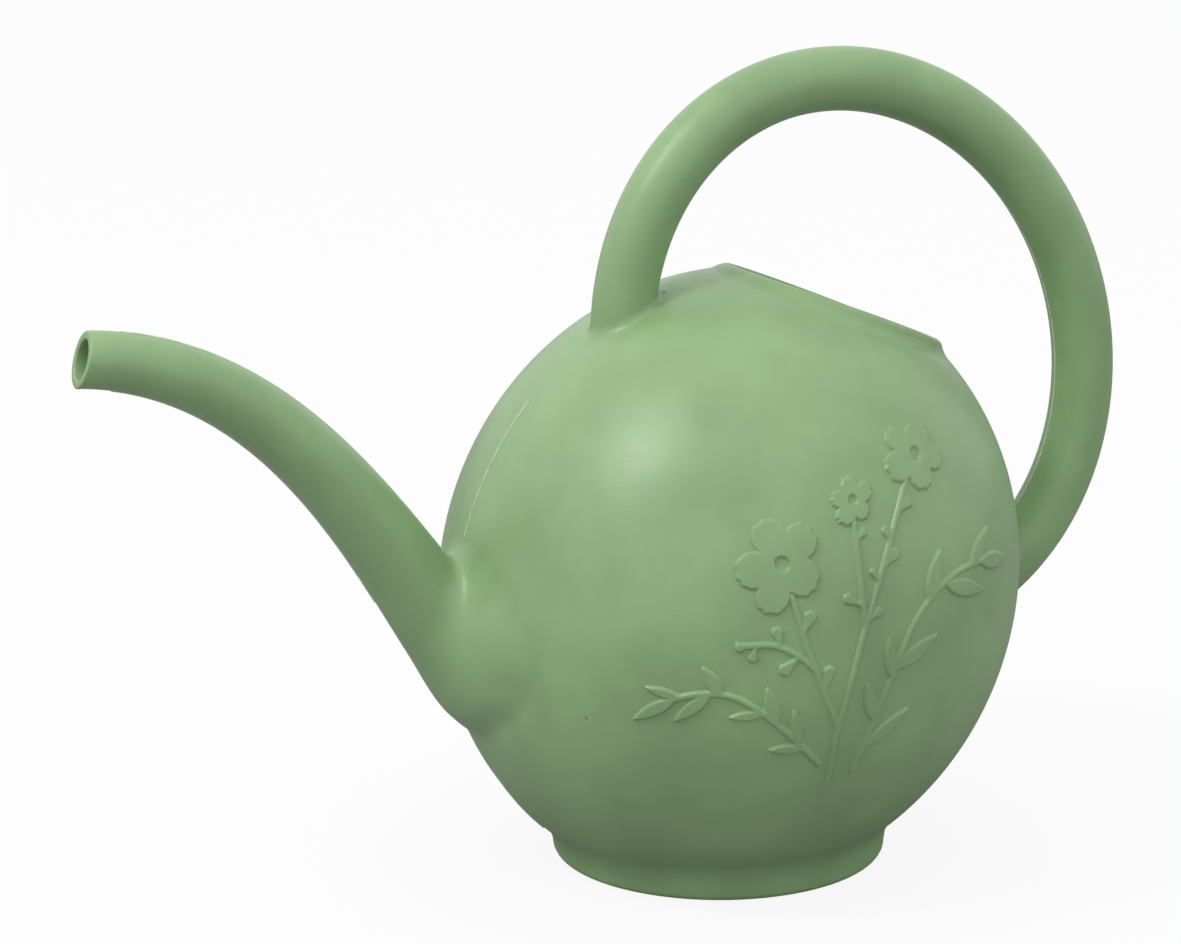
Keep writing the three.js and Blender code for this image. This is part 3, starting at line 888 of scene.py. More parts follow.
def moulded_polyethylene():
    """High-density polyethylene, blow-moulded: a satin skin that takes a broad soft gloss, the
    mould's fine tooling lines across it, faint waves where the wall cooled, and a few dark specks."""
    NAME = "blow_moulded_polyethylene"
    if NAME in bpy.data.materials:
        return bpy.data.materials[NAME]
    material, tree = blank_material(NAME)
    colours = can().colours

    def per(millimetres):
        return 1 / (millimetres * MM)

    where = add_node(tree, "ShaderNodeTexCoord").outputs["Object"]

    def noise(size, detail=2.0, coordinates=where):
        inputs = {"Vector": coordinates, "Scale": per(size), "Detail": detail}
        return add_node(tree, "ShaderNodeTexNoise", inputs).outputs[0]

    def ranged(value, low, high, new_low, new_high):
        inputs = {0: value, 1: low, 2: high, 3: new_low, 4: new_high}
        return add_node(tree, "ShaderNodeMapRange", inputs).outputs[0]

    def maths(operation, a, b):
        return add_node(tree, "ShaderNodeMath", {0: a, 1: b}, operation=operation).outputs[0]

    mottle = noise(26, 3.0)
    grain = noise(0.9, 2.0)  # finer than this would not show
    along_lines = add_node(
        tree,
        "ShaderNodeMapping",
        {"Vector": where, "Rotation": (0, math.radians(4), 0), "Scale": (0.03, 0.03, 1)},
    ).outputs[0]
    lines = noise(0.8, 3.0, along_lines)  # tooling lines, about 27 mm long
    fine_lines = ranged(lines, 0.5, 0.72, 0, 1)

    cells = add_node(
        tree,
        "ShaderNodeTexVoronoi",
        {"Vector": where, "Scale": per(15), "Randomness": 1.0},
        feature="F1",
    )
    spot = ranged(cells.outputs["Distance"], 0.022, 0.034, 1, 0)
    chosen = add_node(tree, "ShaderNodeSeparateColor", {"Color": cells.outputs["Color"]})
    specks = maths("MULTIPLY", spot, maths("GREATER_THAN", chosen.outputs[0], 0.55))

    PALER, DEEPER, SPECK_DEPTH = 1.07, 0.93, 0.75
    pale = opaque(min(1, c * PALER) for c in colours.green)
    deep = opaque(c * DEEPER for c in colours.green)
    skin_colour = mixed_colour(tree, ranged(mottle, 0.35, 0.65, 0, 1), deep, pale)
    speck_share = maths("MULTIPLY", specks, SPECK_DEPTH)
    colour = mixed_colour(tree, speck_share, skin_colour, opaque(colours.speck))
    roughness = maths(
        "ADD", ranged(mottle, 0.3, 0.7, 0.33, 0.4), ranged(fine_lines, 0, 1, 0, 0.06)
    )

    wave = add_node(
        tree,
        "ShaderNodeBump",
        {"Strength": 0.35, "Distance": 0.5 * MM, "Height": noise(34, 1.0)},
    ).outputs[0]
    lined = add_node(
        tree,
        "ShaderNodeBump",
        {"Strength": 0.3, "Distance": 0.03 * MM, "Height": fine_lines, "Normal": wave},
    ).outputs[0]
    grained = add_node(
        tree,
        "ShaderNodeBump",
        {"Strength": 0.25, "Distance": 0.03 * MM, "Height": grain, "Normal": lined},
    ).outputs[0]
    shader = add_node(
        tree,
        "ShaderNodeBsdfPrincipled",
        {"Base Color": colour, "Roughness": roughness, "IOR": 1.51, "Normal": grained},
    )
    add_node(tree, "ShaderNodeOutputMaterial", {"Surface": shader.outputs[0]})
    material.diffuse_color = opaque(colours.green)
    return material


# ---------------------------------------------------------------- body, foot and collar

SPOUT_JOINTS = (0.3, 0.6)  # where the tip and the neck end, along the centreline
HANDLE_JOINTS = (math.radians(-33), math.radians(107))  # ends of the grip
RING_SPACING = 1.5 * MM


def heading_at(path, t, sign=1):
    return sign * np.array(path.heading(np.array([t])))[:, 0]


def on_spout(skin, points):
    """Whether points of the skin belong to the spout: clear of the body and in front of it."""
    CLEAR = 1.0 * MM
    FORWARD, UP = 0.6, 0.7  # shares of the body's radius that bound the spout's skin
    body = skin.can.body
    in_front = points[:, 0] < body.centre_x - FORWARD * body.radius
    low = points[:, 2] < body.centre_z + UP * body.radius
    return (skin.body(*points.T) > CLEAR) & in_front & low


def skin_patch(skin, low, high, cuts, spout):
    """A patch of the skin's left half inside a box, as points and triangles. Each cut is a plane's
    point and normal in XZ, which drops what lies beyond it, and how far from the point it works.
    The patch is either on the spout or clear of it."""
    cell = can().body.cell
    low, high = (np.round(np.array(corner) / cell) * cell for corner in (low, high))
    points, faces = skin_sheet(skin.field, low, high, cell)
    points = skin.settled(points)
    faces = faces[on_spout(skin, points[faces].mean(axis=1)) == spout]
    shape = bmesh.new()
    vertices = [shape.verts.new(p) for p in points.tolist()]
    for quad in faces.tolist():
        shape.faces.new([vertices[i] for i in quad])
    bmesh.ops.bisect_plane(
        shape,
        geom=[*shape.verts, *shape.edges, *shape.faces],
        dist=1e-8,
        plane_co=(0, 0, 0),
        plane_no=(0, 1, 0),
        clear_outer=True,
    )
    for point, normal, reach in cuts:
        centre = Vector((point[0], 0, point[1]))
        chosen = [f for f in shape.faces if (f.calc_center_median() - centre).length < reach]
        parts = set(chosen)
        for face in chosen:
            parts.update(face.verts)
            parts.update(face.edges)
        bmesh.ops.bisect_plane(
            shape,
            geom=list(parts),
            dist=1e-8,
            plane_co=centre,
            plane_no=(normal[0], 0, normal[1]),
            clear_outer=True,
        )
    bmesh.ops.triangulate(shape, faces=shape.faces)
    keep_largest(shape)
    shape.verts.index_update()
    points = np.array([v.co for v in shape.verts])
    faces = np.array([[v.index for v in f.verts] for f in shape.faces])
    shape.free()
    points[np.abs(points[:, 1]) < 1e-7, 1] = 0
    return points, faces


EVERYWHERE = 10.0  # a reach that takes in the whole can


def body_patch(skin):
    """The left half of the body's skin, cut where the foot, collar, spout and handle take over."""
    sizes = can()
    body, foot, collar = sizes.body, sizes.foot, sizes.collar
    margin = 4 * body.cell
    low = (body.centre_x - body.pole, -body.radius - margin, foot.height - margin)
    high = (body.centre_x + body.pole, margin, body.centre_z + body.pole + margin)
    axis = np.array([math.sin(body.lean), math.cos(body.lean)])
    seat = np.array([body.centre_x, body.centre_z]) + collar.seat * axis
    COLLAR_REACH, LEG_REACH = 1.35 * collar.radius, 45 * MM
    cuts = [((0, foot.height), (0, -1), EVERYWHERE), (seat, axis, COLLAR_REACH)]
    for point, normal, _ in handle_root_planes(skin):
        cuts.append((point, normal, LEG_REACH))
    return skin_patch(skin, low, high, cuts, False)


def spout_root_patch(skin):
    """The left half of the spout's root, from the end of the neck to where the body takes over."""
    body, neck, neck_end = can().body, skin.neck, SPOUT_JOINTS[1]
    joint = [p[0] for p in neck.at(np.array([neck_end]))]
    WIDE, HIGH = 45 * MM, 30 * MM
    low = (joint[0] - HIGH, -WIDE, can().foot.height)
    high = (body.centre_x, 4 * body.cell, joint[1] + HIGH)
    return skin_patch(skin, low, high, [(joint, -heading_at(neck, neck_end), EVERYWHERE)], True)


def both_halves(points, faces):
    """A left half with its mirror image, joined at the middle plane."""
    away = np.flatnonzero(points[:, 1] != 0)
    mirrored = np.arange(len(points))
    mirrored[away] = len(points) + np.arange(len(away))
    other = mirrored[faces][:, ::-1]
    turned_over = np.array([1, -1, 1])
    return np.concatenate([points, points[away] * turned_over]), np.concatenate([faces, other])


def keep_largest(shape):
    """Drops every island of faces but the largest."""
    left = set(shape.faces)
    islands = []
    while left:
        seed = left.pop()
        island, queue = [seed], [seed]
        while queue:
            for edge in queue.pop().edges:
                for face in edge.link_faces:
                    if face in left:
                        left.remove(face)
                        island.append(face)
                        queue.append(face)
        islands.append(island)
    islands.sort(key=len)
    for island in islands[:-1]:
        bmesh.ops.delete(shape, geom=island, context="FACES")
    loose = [v for v in shape.verts if not v.link_faces]
    bmesh.ops.delete(shape, geom=loose, context="VERTS")


def handle_root_planes(skin):
    """The planes that part the front leg and the rear leg from the body."""
    LIFT = 5 * MM
    INSIDE_REAR, INSIDE_FRONT = math.radians(-99), math.radians(149)
    rear_joint, front_joint = HANDLE_JOINTS
    front = root_plane(skin, skin.hoop, INSIDE_FRONT, front_joint, LIFT)
    rear = root_plane(skin, skin.hoop, INSIDE_REAR, rear_joint, LIFT)
    return front, rear


def make_body():
    skin = Skin()
    wall = can().body.wall
    points, faces = body_patch(skin)
    normals = skin.normals(points)
    normals[points[:, 1] == 0, 1] = 0
    for side, name in ((1, "left"), (-1, "right")):
        turned_over = np.array([1, side, 1])
        order = slice(None, None, side)
        shell = shell_of(points * turned_over, faces[:, order], normals * turned_over, wall)
        add_skin_piece(f"body_{name}_half", skin, *shell, wall)


def level_ring(radius, height, sides):
    """A ring round the middle of the foot."""
    ring = ring_directions((0, 1), sides) * radius
    return ring + np.array([FOOT_MIDDLE, 0, height])


def make_foot():
    skin = Skin()
    sizes = can()
    foot, wall, sides = sizes.foot, sizes.body.wall, sizes.sides
    bottom = foot.radius - foot.taper
    recess = bottom - foot.edge - foot.standing
    directions = ring_directions((0, 1), sides)
    ROWS = 10
    rings = []
    for height in np.linspace(foot.height, foot.edge, ROWS):
        middle = np.repeat([[FOOT_MIDDLE, 0, height]], sides, axis=0)
        rings.append(skin.cast(middle, directions, foot.radius))
    BENDS = 6
    for cosine, sine in quarter_turn(BENDS, 1):
        radius = bottom - foot.edge * (1 - cosine)
        rings.append(level_ring(radius, foot.edge * (1 - sine), sides))
    for cosine, sine in quarter_turn(BENDS):
        radius = recess + foot.edge * (1 - sine)
        rings.append(level_ring(radius, foot.edge * (1 - cosine), sides))
    ledge = foot.rise + wall
    rings.append(level_ring(recess, ledge, sides))
    rings.append(level_ring(bottom - wall, ledge, sides))
    rings.append(level_ring(foot.radius - wall, foot.height, sides))
    add_skin_piece("foot_ring", skin, *ring_solid(rings))

    SEAM = 0.3 * MM
    edge = recess - SEAM
    CROWN_ROWS = 12
    rings = []
    for share in np.linspace(0, 1, CROWN_ROWS):
        rings.append(level_ring(edge * share, foot.rise + foot.crown * (1 - share**2), sides))
    for share in np.linspace(1, 0, CROWN_ROWS):
        rings.append(
            level_ring(edge * share, foot.rise + wall + foot.crown * (1 - share**2), sides)
        )
    mesh = mesh_of(*ring_solid(rings))
    close_poles(mesh)
    add_piece("base_panel", mesh, ["base_panel"])


def close_poles(mesh):
    """Merges the points that a ring of no size leaves at a pole, and what they collapse."""
    shape = bmesh.new()
    shape.from_mesh(mesh)
    bmesh.ops.remove_doubles(shape, verts=shape.verts, dist=1e-6)
    thin = [f for f in shape.faces if f.calc_area() < 1e-12]
    bmesh.ops.delete(shape, geom=thin, context="FACES")
    loose = [e for e in shape.edges if not e.link_faces]
    bmesh.ops.delete(shape, geom=loose, context="EDGES")
    if shape.calc_volume(signed=True) < 0:
        bmesh.ops.reverse_faces(shape, faces=shape.faces)
    shape.to_mesh(mesh)
    shape.free()
    mesh.shade_smooth()


def make_collar():
    skin = Skin()
    sizes = can()
    body, collar, sides = sizes.body, sizes.collar, sizes.sides
    axis = np.array([math.sin(body.lean), math.cos(body.lean)])
    directions = ring_directions(axis, sides)
    upward = np.array([axis[0], 0, axis[1]])
    centre = np.array([body.centre_x, 0, body.centre_z])
    across = directions @ np.array([axis[1], 0, -axis[0]])

    def ring(radius, height):
        """A ring round the axis. Over the seat, it is stretched up or down with the lip."""
        lift = skin.lip_lift(radius * across, radius * directions[:, 1])
        share = np.clip((height - collar.seat) / (collar.top - collar.seat), 0, 1)
        level = (height + share * lift)[:, None] * upward
        return centre + level + radius * directions

    lip_foot = collar.top - collar.lip
    rings = []
    for height in np.linspace(collar.seat, lip_foot, 4):
        rings.append(skin.cast(ring(0, height), directions, collar.radius))
    BENDS = 8
    for cosine, sine in quarter_turn(BENDS, 1):
        radius = collar.radius - collar.lip * (1 - cosine)
        rings.append(skin.settled(ring(radius, lip_foot + collar.lip * sine)))
    inner_edge = collar.wall - collar.lip
    inside = collar.radius - collar.wall
    for cosine, sine in quarter_turn(BENDS, 1):
        radius = inside + inner_edge * (1 - sine)
        rings.append(ring(radius, collar.top - inner_edge * (1 - cosine)))
    for height in np.linspace(collar.top - inner_edge, collar.skirt, 6)[1:]:
        rings.append(ring(inside, height))
    rings.append(ring(collar.radius, collar.skirt))
    add_skin_piece("filler_collar", skin, *ring_solid(rings))


# ---------------------------------------------------------------- spout and handle


def make_spout():
    skin = Skin()
    spout, sides = can().spout, can().sides
    neck = skin.neck
    tip_end, neck_end = SPOUT_JOINTS

    mesh = blown_tube(skin, neck, tip_end, neck_end, skin.spout_radius, spout.wall)
    add_piece("spout_neck", mesh, ["spout_neck"])

    points, faces = both_halves(*spout_root_patch(skin))
    shell = shell_of(points, faces, skin.normals(points), spout.wall)
    add_skin_piece("spout_root", skin, *shell, spout.wall)

    mouth = np.array([math.cos(spout.cut), -math.sin(spout.cut)])
    rings = lofted_rings(
        skin,
        neck,
        (tip_end, heading_at(neck, tip_end, -1)),
        (0.0, -mouth),
        spout.tip_radius,
        sides,
    )
    x, z = neck.at(0.0)
    centre = np.array([x, 0, z])
    outward_mouth = np.array([-mouth[0], 0, -mouth[1]])
    last = rings.pop()
    arm = last - centre
    arm_length = np.linalg.norm(arm, axis=1, keepdims=True)
    arm_unit = arm / arm_length
    BENDS = 4
    lips = []
    for cosine, sine in quarter_turn(BENDS):
        width = arm_length - spout.edge * (1 - cosine)
        lips.append(centre + width * arm_unit - spout.edge * (1 - sine) * outward_mouth)
    for cosine, sine in quarter_turn(BENDS):
        width = arm_length - spout.wall + spout.edge * (1 - sine)
        lips.append(centre + width * arm_unit - spout.edge * (1 - cosine) * outward_mouth)
    inside = inside_rings(skin, rings, spout.wall)
    add_skin_piece("spout_tip", skin, *ring_solid(rings + lips + inside))


def make_handle():
    skin = Skin()
    handle, sides = can().handle, can().sides
    hoop = skin.hoop
    rear_joint, front_joint = HANDLE_JOINTS
    mesh = blown_tube(skin, hoop, rear_joint, front_joint, skin.handle_radius, handle.wall)
    add_piece("handle_grip", mesh, ["handle_grip"])
    front, rear = handle_root_planes(skin)
    for name, joint, sign, (_, normal, t) in (
        ("handle_front_leg", front_joint, 1, front),
        ("handle_rear_leg", rear_joint, -1, rear),
    ):
        rings = lofted_rings(
            skin,
            hoop,
            (joint, heading_at(hoop, joint, sign)),
            (t, -normal),
            handle.radius,
            sides,
        )
        inside = inside_rings(skin, rings, handle.wall)
        add_skin_piece(name, skin, *ring_solid(rings + inside), handle.wall)


# ---------------------------------------------------------------- raised flowers and leaves

# The decoration is drawn on the XZ plane and laid on each side of the body. Every place is x and z
# over the middle of the foot, in millimetres.

# Each flower has its centre, the radius of the dimple there, and the tip of each petal and the
# cleft after it, as an angle in degrees and a distance from the centre.
FLOWERS = {
    "large_flower": (
        (-16.2, 116.2),
        2.0,
        [(46, 13.4), (75, 9.6), (106, 12.6), (151, 7.4), (196, 13.3)]
        + [(222, 10.0), (246, 14.9), (282, 8.3), (320, 11.7), (368, 7.8)],
    ),
    "medium_flower": (
        (32.3, 141.2),
        1.8,
        [(48, 8.8), (107, 6.1), (143, 10.9), (165, 7.3), (191, 11.5)]
        + [(237, 6.8), (282, 9.7), (314, 6.5), (340, 10.4), (378, 6.3)],
    ),
    "small_flower": (
        (7.7, 132.0),
        1.3,
        [(27, 7.1), (58, 4.7), (88, 6.3), (132, 3.7), (176, 6.7)]
        + [(201, 4.9), (226, 7.6), (273, 4.7), (305, 6.3), (347, 4.2)],
    ),
}

MAIN_STEM = [(-0.3, 43.5), (0, 57), (0.4, 66.5)]
FLOWER_STEMS = [
    MAIN_STEM,
    [(0.2, 65.5), (-4.9, 77), (-8.1, 85.2), (-10.9, 93.1), (-14.3, 107)],
    [(0.4, 66), (3.4, 79), (9, 98.5), (18.4, 119.8), (27.4, 136)],
    [(8, 95.5), (7.3, 105), (7, 116), (7, 127.3)],
    [(-7.7, 84.2), (-12, 88.4), (-18.3, 92.2), (-23, 93), (-28.6, 92.8)],
]

# Buds, from the stem to the middle of the round end, with the radius of that end.
BUDS = [
    ((-18.2, 92.2), (-19, 96.6), 1.7),
    ((-25.2, 92.6), (-26, 89.4), 1.4),
    ((-12.8, 89.2), (-16.8, 85.4), 1.9),
    ((-4.9, 77.2), (-3.7, 83.6), 1.8),
    ((7.3, 102.2), (2.8, 104.8), 1.6),
    ((13.2, 108.3), (11.4, 111.6), 1.1),
    ((15.5, 112.8), (19, 115.6), 2),
    ((9.8, 98.3), (12.2, 99.8), 1.6),
    ((-28.2, 92.8), (-29.4, 92.6), 1.5),
    ((22.7, 127.2), (26.1, 129.2), 1.7),
    ((18.3, 119.1), (17.1, 122.5), 1.3),
    ((7.1, 121.3), (9.3, 122.9), 1.3),
    ((-11.1, 96.4), (-9.3, 100.4), 2),
]

# Each sprig is a stem with leaves, each leaf from the stem to its point, with its half width.
SPRIGS = {
    "front_sprig": (
        [(-4.2, 53.8), (-15.2, 65), (-24.5, 73.2), (-32.4, 77.7), (-40, 78.2), (-47, 76.3)],
        [
            ((-45, 76.8), (-53.9, 79.6), 1.4),
            ((-46.5, 76.4), (-56.3, 69), 1.9),
            ((-37.5, 78.2), (-46.4, 69.3), 1.9),
            ((-34.5, 77.8), (-39.5, 86.6), 2),
            ((-22.5, 71.8), (-32.2, 70.9), 1.5),
            ((-18.6, 68.2), (-22, 80.1), 2.1),
            ((-11.5, 61.2), (-13.9, 72.6), 1.7),
            ((-9.8, 59.6), (-20.3, 59.9), 1.6),
        ],
    ),
    "rear_sprig": (
        [(7.4, 49.8), (12.6, 67), (17.6, 80), (24.5, 93.8), (33, 102), (43, 106.3), (54, 106.9)],
        [
            ((10.4, 57.8), (24.2, 68), 2.1),
            ((12.3, 65.6), (8.4, 78.9), 2.1),
            ((18.6, 81.8), (33.9, 89.4), 2.4),
            ((17.2, 79), (15.8, 91.6), 2.1),
            ((30.6, 99.8), (36.1, 114.3), 2.7),
            ((37.4, 103.6), (54.2, 97.9), 2.6),
            ((48.2, 106.6), (58.1, 115.9), 2.2),
            ((53, 106.8), (67.4, 103.8), 2.5),
        ],
    ),
}


def smooth_route(points, steps=8):
    """Points of a soft curve through a few places."""
    p = np.array(points, float)
    p = np.vstack([2 * p[0] - p[1], p, 2 * p[-1] - p[-2]])
    route = []
    for a, b, c, d in zip(p, p[1:], p[2:], p[3:]):
        for u in np.linspace(0, 1, steps, endpoint=False):
            route.append(
                b
                + u * (c - a) / 2
                + u**2 * (a - 2.5 * b + 2 * c - d / 2)
                + u**3 * (1.5 * (b - c) + (d - a) / 2)
            )
    return np.array(route + [p[-2]])


def along_line(x, z, start, end):
    """For each x and z: the share of a line that lies nearest, and the distance from it."""
    start, end = np.array(start, float), np.array(end, float)
    run = end - start
    share = np.clip(((x - start[0]) * run[0] + (z - start[1]) * run[1]) / (run @ run), 0, 1)
    return share, np.hypot(x - start[0] - share * run[0], z - start[1] - share * run[1])


def flower_distance(x, z, petals, centre):
    """Distance in millimetres from a flower's outline, negative inside it."""
    SCALLOP, WAVES = 0.35, 5  # the ends of the petals have small waves
    PER_SIDE = 20
    knots = petals + [(petals[0][0] + 360, petals[0][1])]
    outline = []
    for i, ((angle, reach), (next_angle, next_reach)) in enumerate(zip(knots, knots[1:])):
        from_tip = i % 2 == 0
        for share in np.linspace(0, 1, PER_SIDE, endpoint=False):
            fall = share**2.4 if from_tip else 1 - (1 - share) ** 2.4
            from_end = share if from_tip else 1 - share
            wave = math.cos(WAVES * math.pi * from_end) * (1 - from_end)
            radius = reach + (next_reach - reach) * fall + SCALLOP * wave
            turned = math.radians(angle + (next_angle - angle) * share)
            outline.append((math.cos(turned) * radius, math.sin(turned) * radius))
    outline = np.array(outline) + centre
    distance = np.full(x.shape, np.inf)
    inside = np.zeros(x.shape, bool)
    for (ax, az), (bx, bz) in zip(outline, np.roll(outline, -1, axis=0)):
        distance = np.minimum(distance, along_line(x, z, (ax, az), (bx, bz))[1])
        if az != bz:
            inside ^= ((az > z) != (bz > z)) & (x < (bx - ax) * (z - az) / (bz - az) + ax)
    return np.where(inside, -distance, distance)


def stem_distance(x, z, points, half_width):
    route = smooth_route(points)
    distance = np.full(x.shape, np.inf)
    for start, end in zip(route, route[1:]):
        distance = np.minimum(distance, along_line(x, z, start, end)[1])
    return distance - half_width


def leaf_distance(x, z, leaf):
    """A pointed leaf that is widest a little before its middle."""
    base, point, half_width = leaf
    share, away = along_line(x, z, base, point)
    return away - half_width * np.sin(np.pi * share**0.85) ** 0.8


def bud_distance(x, z, bud):
    base, end, radius = bud
    NECK = 0.5
    share, away = along_line(x, z, base, end)
    return away - (NECK + (radius - NECK) * share**1.5)


def sprig_distance(x, z, sprig, half_width):
    JOIN = 0.8
    stem, leaves = sprig
    distance = stem_distance(x, z, stem, half_width)
    for leaf in leaves:
        distance = blended(distance, leaf_distance(x, z, leaf), JOIN)
    return distance


def stems_distance(x, z, half_width):
    """The flower stems with their buds. They stop just inside the flowers."""
    JOIN, OVERLAP = 0.8, 0.4
    distance = np.full(x.shape, np.inf)
    for route in FLOWER_STEMS:
        distance = np.minimum(distance, stem_distance(x, z, route, half_width))
    for bud in BUDS:
        distance = blended(distance, bud_distance(x, z, bud), JOIN)
    for centre, _, petals in FLOWERS.values():
        flower = flower_distance(x, z, petals, centre)
        distance = np.maximum(distance, -flower - OVERLAP)
    return distance


def soft_step(value, low, high):
    share = np.clip((value - low) / (high - low), 0, 1)
    return share * share * (3 - 2 * share)


def raised_sheet(distance_of, places, dimple=None):
    """A raised shape as a closed piece on the left side of the body, from its distance field.

    The top follows the body at the relief's height and falls in a soft slope to just under the
    skin. dimple is the centre and radius of a hollow in the top. Returns points and faces."""
    SINK = 0.12 * MM  # the slope ends this far under the skin
    DEEP = 0.6 * MM  # the underside lies this far under it
    relief, body = can().relief, can().body
    places = np.array(places, float)
    MARGIN = 3
    cell = relief.cell / MM
    low, high = places.min(axis=0) - MARGIN, places.max(axis=0) + MARGIN
    x, z = np.meshgrid(
        np.arange(low[0], high[0], cell), np.arange(low[1], high[1], cell), indexing="ij"
    )
    distance = distance_of(x, z) * MM
    half = relief.slope / 2
    kept = distance < half + relief.cell
    cells = kept[:-1, :-1] | kept[1:, :-1] | kept[1:, 1:] | kept[:-1, 1:]
    rise = soft_step(-distance, -half, half) * relief.height
    if dimple:
        (centre_x, centre_z), radius = dimple
        from_middle = np.hypot(x - centre_x, z - centre_z) * MM - radius * MM
        rise = np.minimum(rise, relief.height * soft_step(from_middle, -0.7 * half, 0.9 * half))
    rise -= SINK * soft_step(distance, 0, half)

    number = np.full(x.shape, -1)
    used = np.zeros(x.shape, bool)
    i, j = np.nonzero(cells)
    for di, dj in ((0, 0), (1, 0), (1, 1), (0, 1)):
        used[i + di, j + dj] = True
    number[used] = np.arange(used.sum())
    faces = np.stack(
        [number[i, j], number[i + 1, j], number[i + 1, j + 1], number[i, j + 1]], axis=1
    )
    px = x[used] * MM + FOOT_MIDDLE - body.centre_x
    pz = z[used] * MM - body.centre_z
    sine, cosine = math.sin(body.lean), math.cos(body.lean)
    along, across = px * sine + pz * cosine, px * cosine - pz * sine
    depth = body.radius * np.sqrt(1 - (along / body.pole) ** 2 - (across / body.radius) ** 2)
    points = np.stack([px + body.centre_x, -depth, pz + body.centre_z], axis=1)
    along_push, across_push = along / body.pole**2, across / body.radius**2
    normals = np.stack(
        [
            along_push * sine + across_push * cosine,
            -depth / body.radius**2,
            along_push * cosine - across_push * sine,
        ],
        axis=1,
    )
    normals /= np.linalg.norm(normals, axis=1, keepdims=True)
    rise = rise[used][:, None]
    return shell_of(points + rise * normals, faces, normals, rise + DEEP)


def make_relief():
    """The flowers, their stems and the two sprigs, on both sides of the body."""
    half_width = can().relief.stem / MM / 2
    shapes = {}
    for name, (centre, dimple, petals) in FLOWERS.items():
        reach = max(distance for _, distance in petals)
        corners = [np.array(centre) - reach, np.array(centre) + reach]
        shapes[name] = raised_sheet(
            lambda x, z: flower_distance(x, z, petals, centre), corners, (centre, dimple)
        )
    routes = [point for route in FLOWER_STEMS for point in route]
    shapes["flower_stems"] = raised_sheet(
        lambda x, z: stems_distance(x, z, half_width), routes + [b[1] for b in BUDS]
    )
    for name, sprig in SPRIGS.items():
        shapes[name] = raised_sheet(
            lambda x, z: sprig_distance(x, z, sprig, half_width),
            sprig[0] + [leaf[1] for leaf in sprig[1]],
        )
    for name, (points, faces) in shapes.items():
        for side, side_name in ((1, "left"), (-1, "right")):
            mesh = mesh_of(points * np.array([1, side, 1]), faces)
            outward(mesh)
            mesh.shade_smooth()
            full_name = f"{side_name}_{name}"
            add_piece(full_name, mesh, [full_name])


# ---------------------------------------------------------------- parting line


def make_parting_line():
    """The fine bead of flash where the two halves of the mould met: on the front and rear of the
    body, over and under the spout, and on the inner side of the handle. The outer side has none,
    because there the bead would stand past the model's box."""
    skin = Skin()
    body, neck, hoop = can().body, skin.neck, skin.hoop
    BODY_ARCS = ((14, 44), (-50, -34), (-128, -157))  # degrees up from straight ahead
    STEPS_ALONG = 300
    centre = np.array([body.centre_x, 0, body.centre_z])
    lines = []
    for start, end in BODY_ARCS:
        count = int(abs(math.radians(end - start)) * body.radius / RING_SPACING)
        angles = np.radians(np.linspace(start, end, count))
        directions = np.stack([-np.cos(angles), np.zeros(count), np.sin(angles)], axis=1)
        lines.append(skin.cast(np.tile(centre, (count, 1)), directions, 0.8 * body.radius))
    TIP, ROOT = 0.05, 0.7
    front, rear = handle_root_planes(skin)
    for path, start, end, radius, sides in (
        (neck, TIP, ROOT, can().spout.tip_radius, (1, -1)),
        (hoop, rear[2], front[2], can().handle.radius, (1,)),
    ):
        t = np.linspace(start, end, STEPS_ALONG)
        x, z = path.at(t)
        across_x, across_z = path.heading(t)
        origins = np.stack([x, np.zeros(len(t)), z], axis=1)
        upward = np.stack([-across_z, np.zeros(len(t)), across_x], axis=1)
        for side in sides:
            lines.append(skin.cast(origins, side * upward, radius))
    points = np.concatenate(lines)
    edges, first = [], 0
    for line in lines:
        edges += [(first + i, first + i + 1) for i in range(len(line) - 1)]
        first += len(line)
    # The bead's material paints a pale highlight along it
    values = {"Radius": can().relief.bead, "Material": flash_painted_highlight()}
    mesh = baked(points, edges, {}, parting_bead_tree(), values)
    outward(mesh)
    mesh.shade_smooth()
    add_piece("parting_line", mesh, material=flash_painted_highlight())


# ---------------------------------------------------------------- stage


def make_camera():
    """A camera a little above the can, which sees the spout to its left and the flowers."""
    AZIMUTH, ELEVATION, ROLL = math.radians(21.52), math.radians(14.46), math.radians(-0.48)
    DISTANCE = 1.15
    TARGET = Vector((FOOT_MIDDLE - 42.73 * MM, 0, 126.76 * MM))
    LENS = 114.06
    look = Vector(
        (
            math.cos(ELEVATION) * math.sin(AZIMUTH),
            math.cos(ELEVATION) * math.cos(AZIMUTH),
            -math.sin(ELEVATION),
        )
    )
    level = Vector((math.cos(AZIMUTH), -math.sin(AZIMUTH), 0))
    right = math.cos(ROLL) * level + math.sin(ROLL) * level.cross(look)
    up = right.cross(look)
    data = bpy.data.cameras.new("camera")
    data.lens = LENS
    data.sensor_width = 36
    camera = bpy.data.objects.new("camera", data)
    turned = Matrix((right, up, -look)).transposed().to_4x4()
    camera.matrix_world = Matrix.Translation(TARGET - DISTANCE * look) @ turned
    bpy.context.scene.collection.objects.link(camera)
    bpy.context.scene.camera = camera


def add_lamp(name, place, aim, size, watts):
    """A square area lamp that faces a point."""
    data = bpy.data.lights.new(name, "AREA")
    data.size = size
    data.energy = watts
    lamp = bpy.data.objects.new(name, data)
    facing = (Vector(aim) - Vector(place)).to_track_quat("-Z", "Y")
    lamp.matrix_world = Matrix.Translation(place) @ facing.to_matrix().to_4x4()
    bpy.context.scene.collection.objects.link(lamp)


def seen_directly(tree):
    """1 for what the camera sees straight, and 0 for every other ray."""
    return add_node(tree, "ShaderNodeLightPath").outputs["Is Camera Ray"]


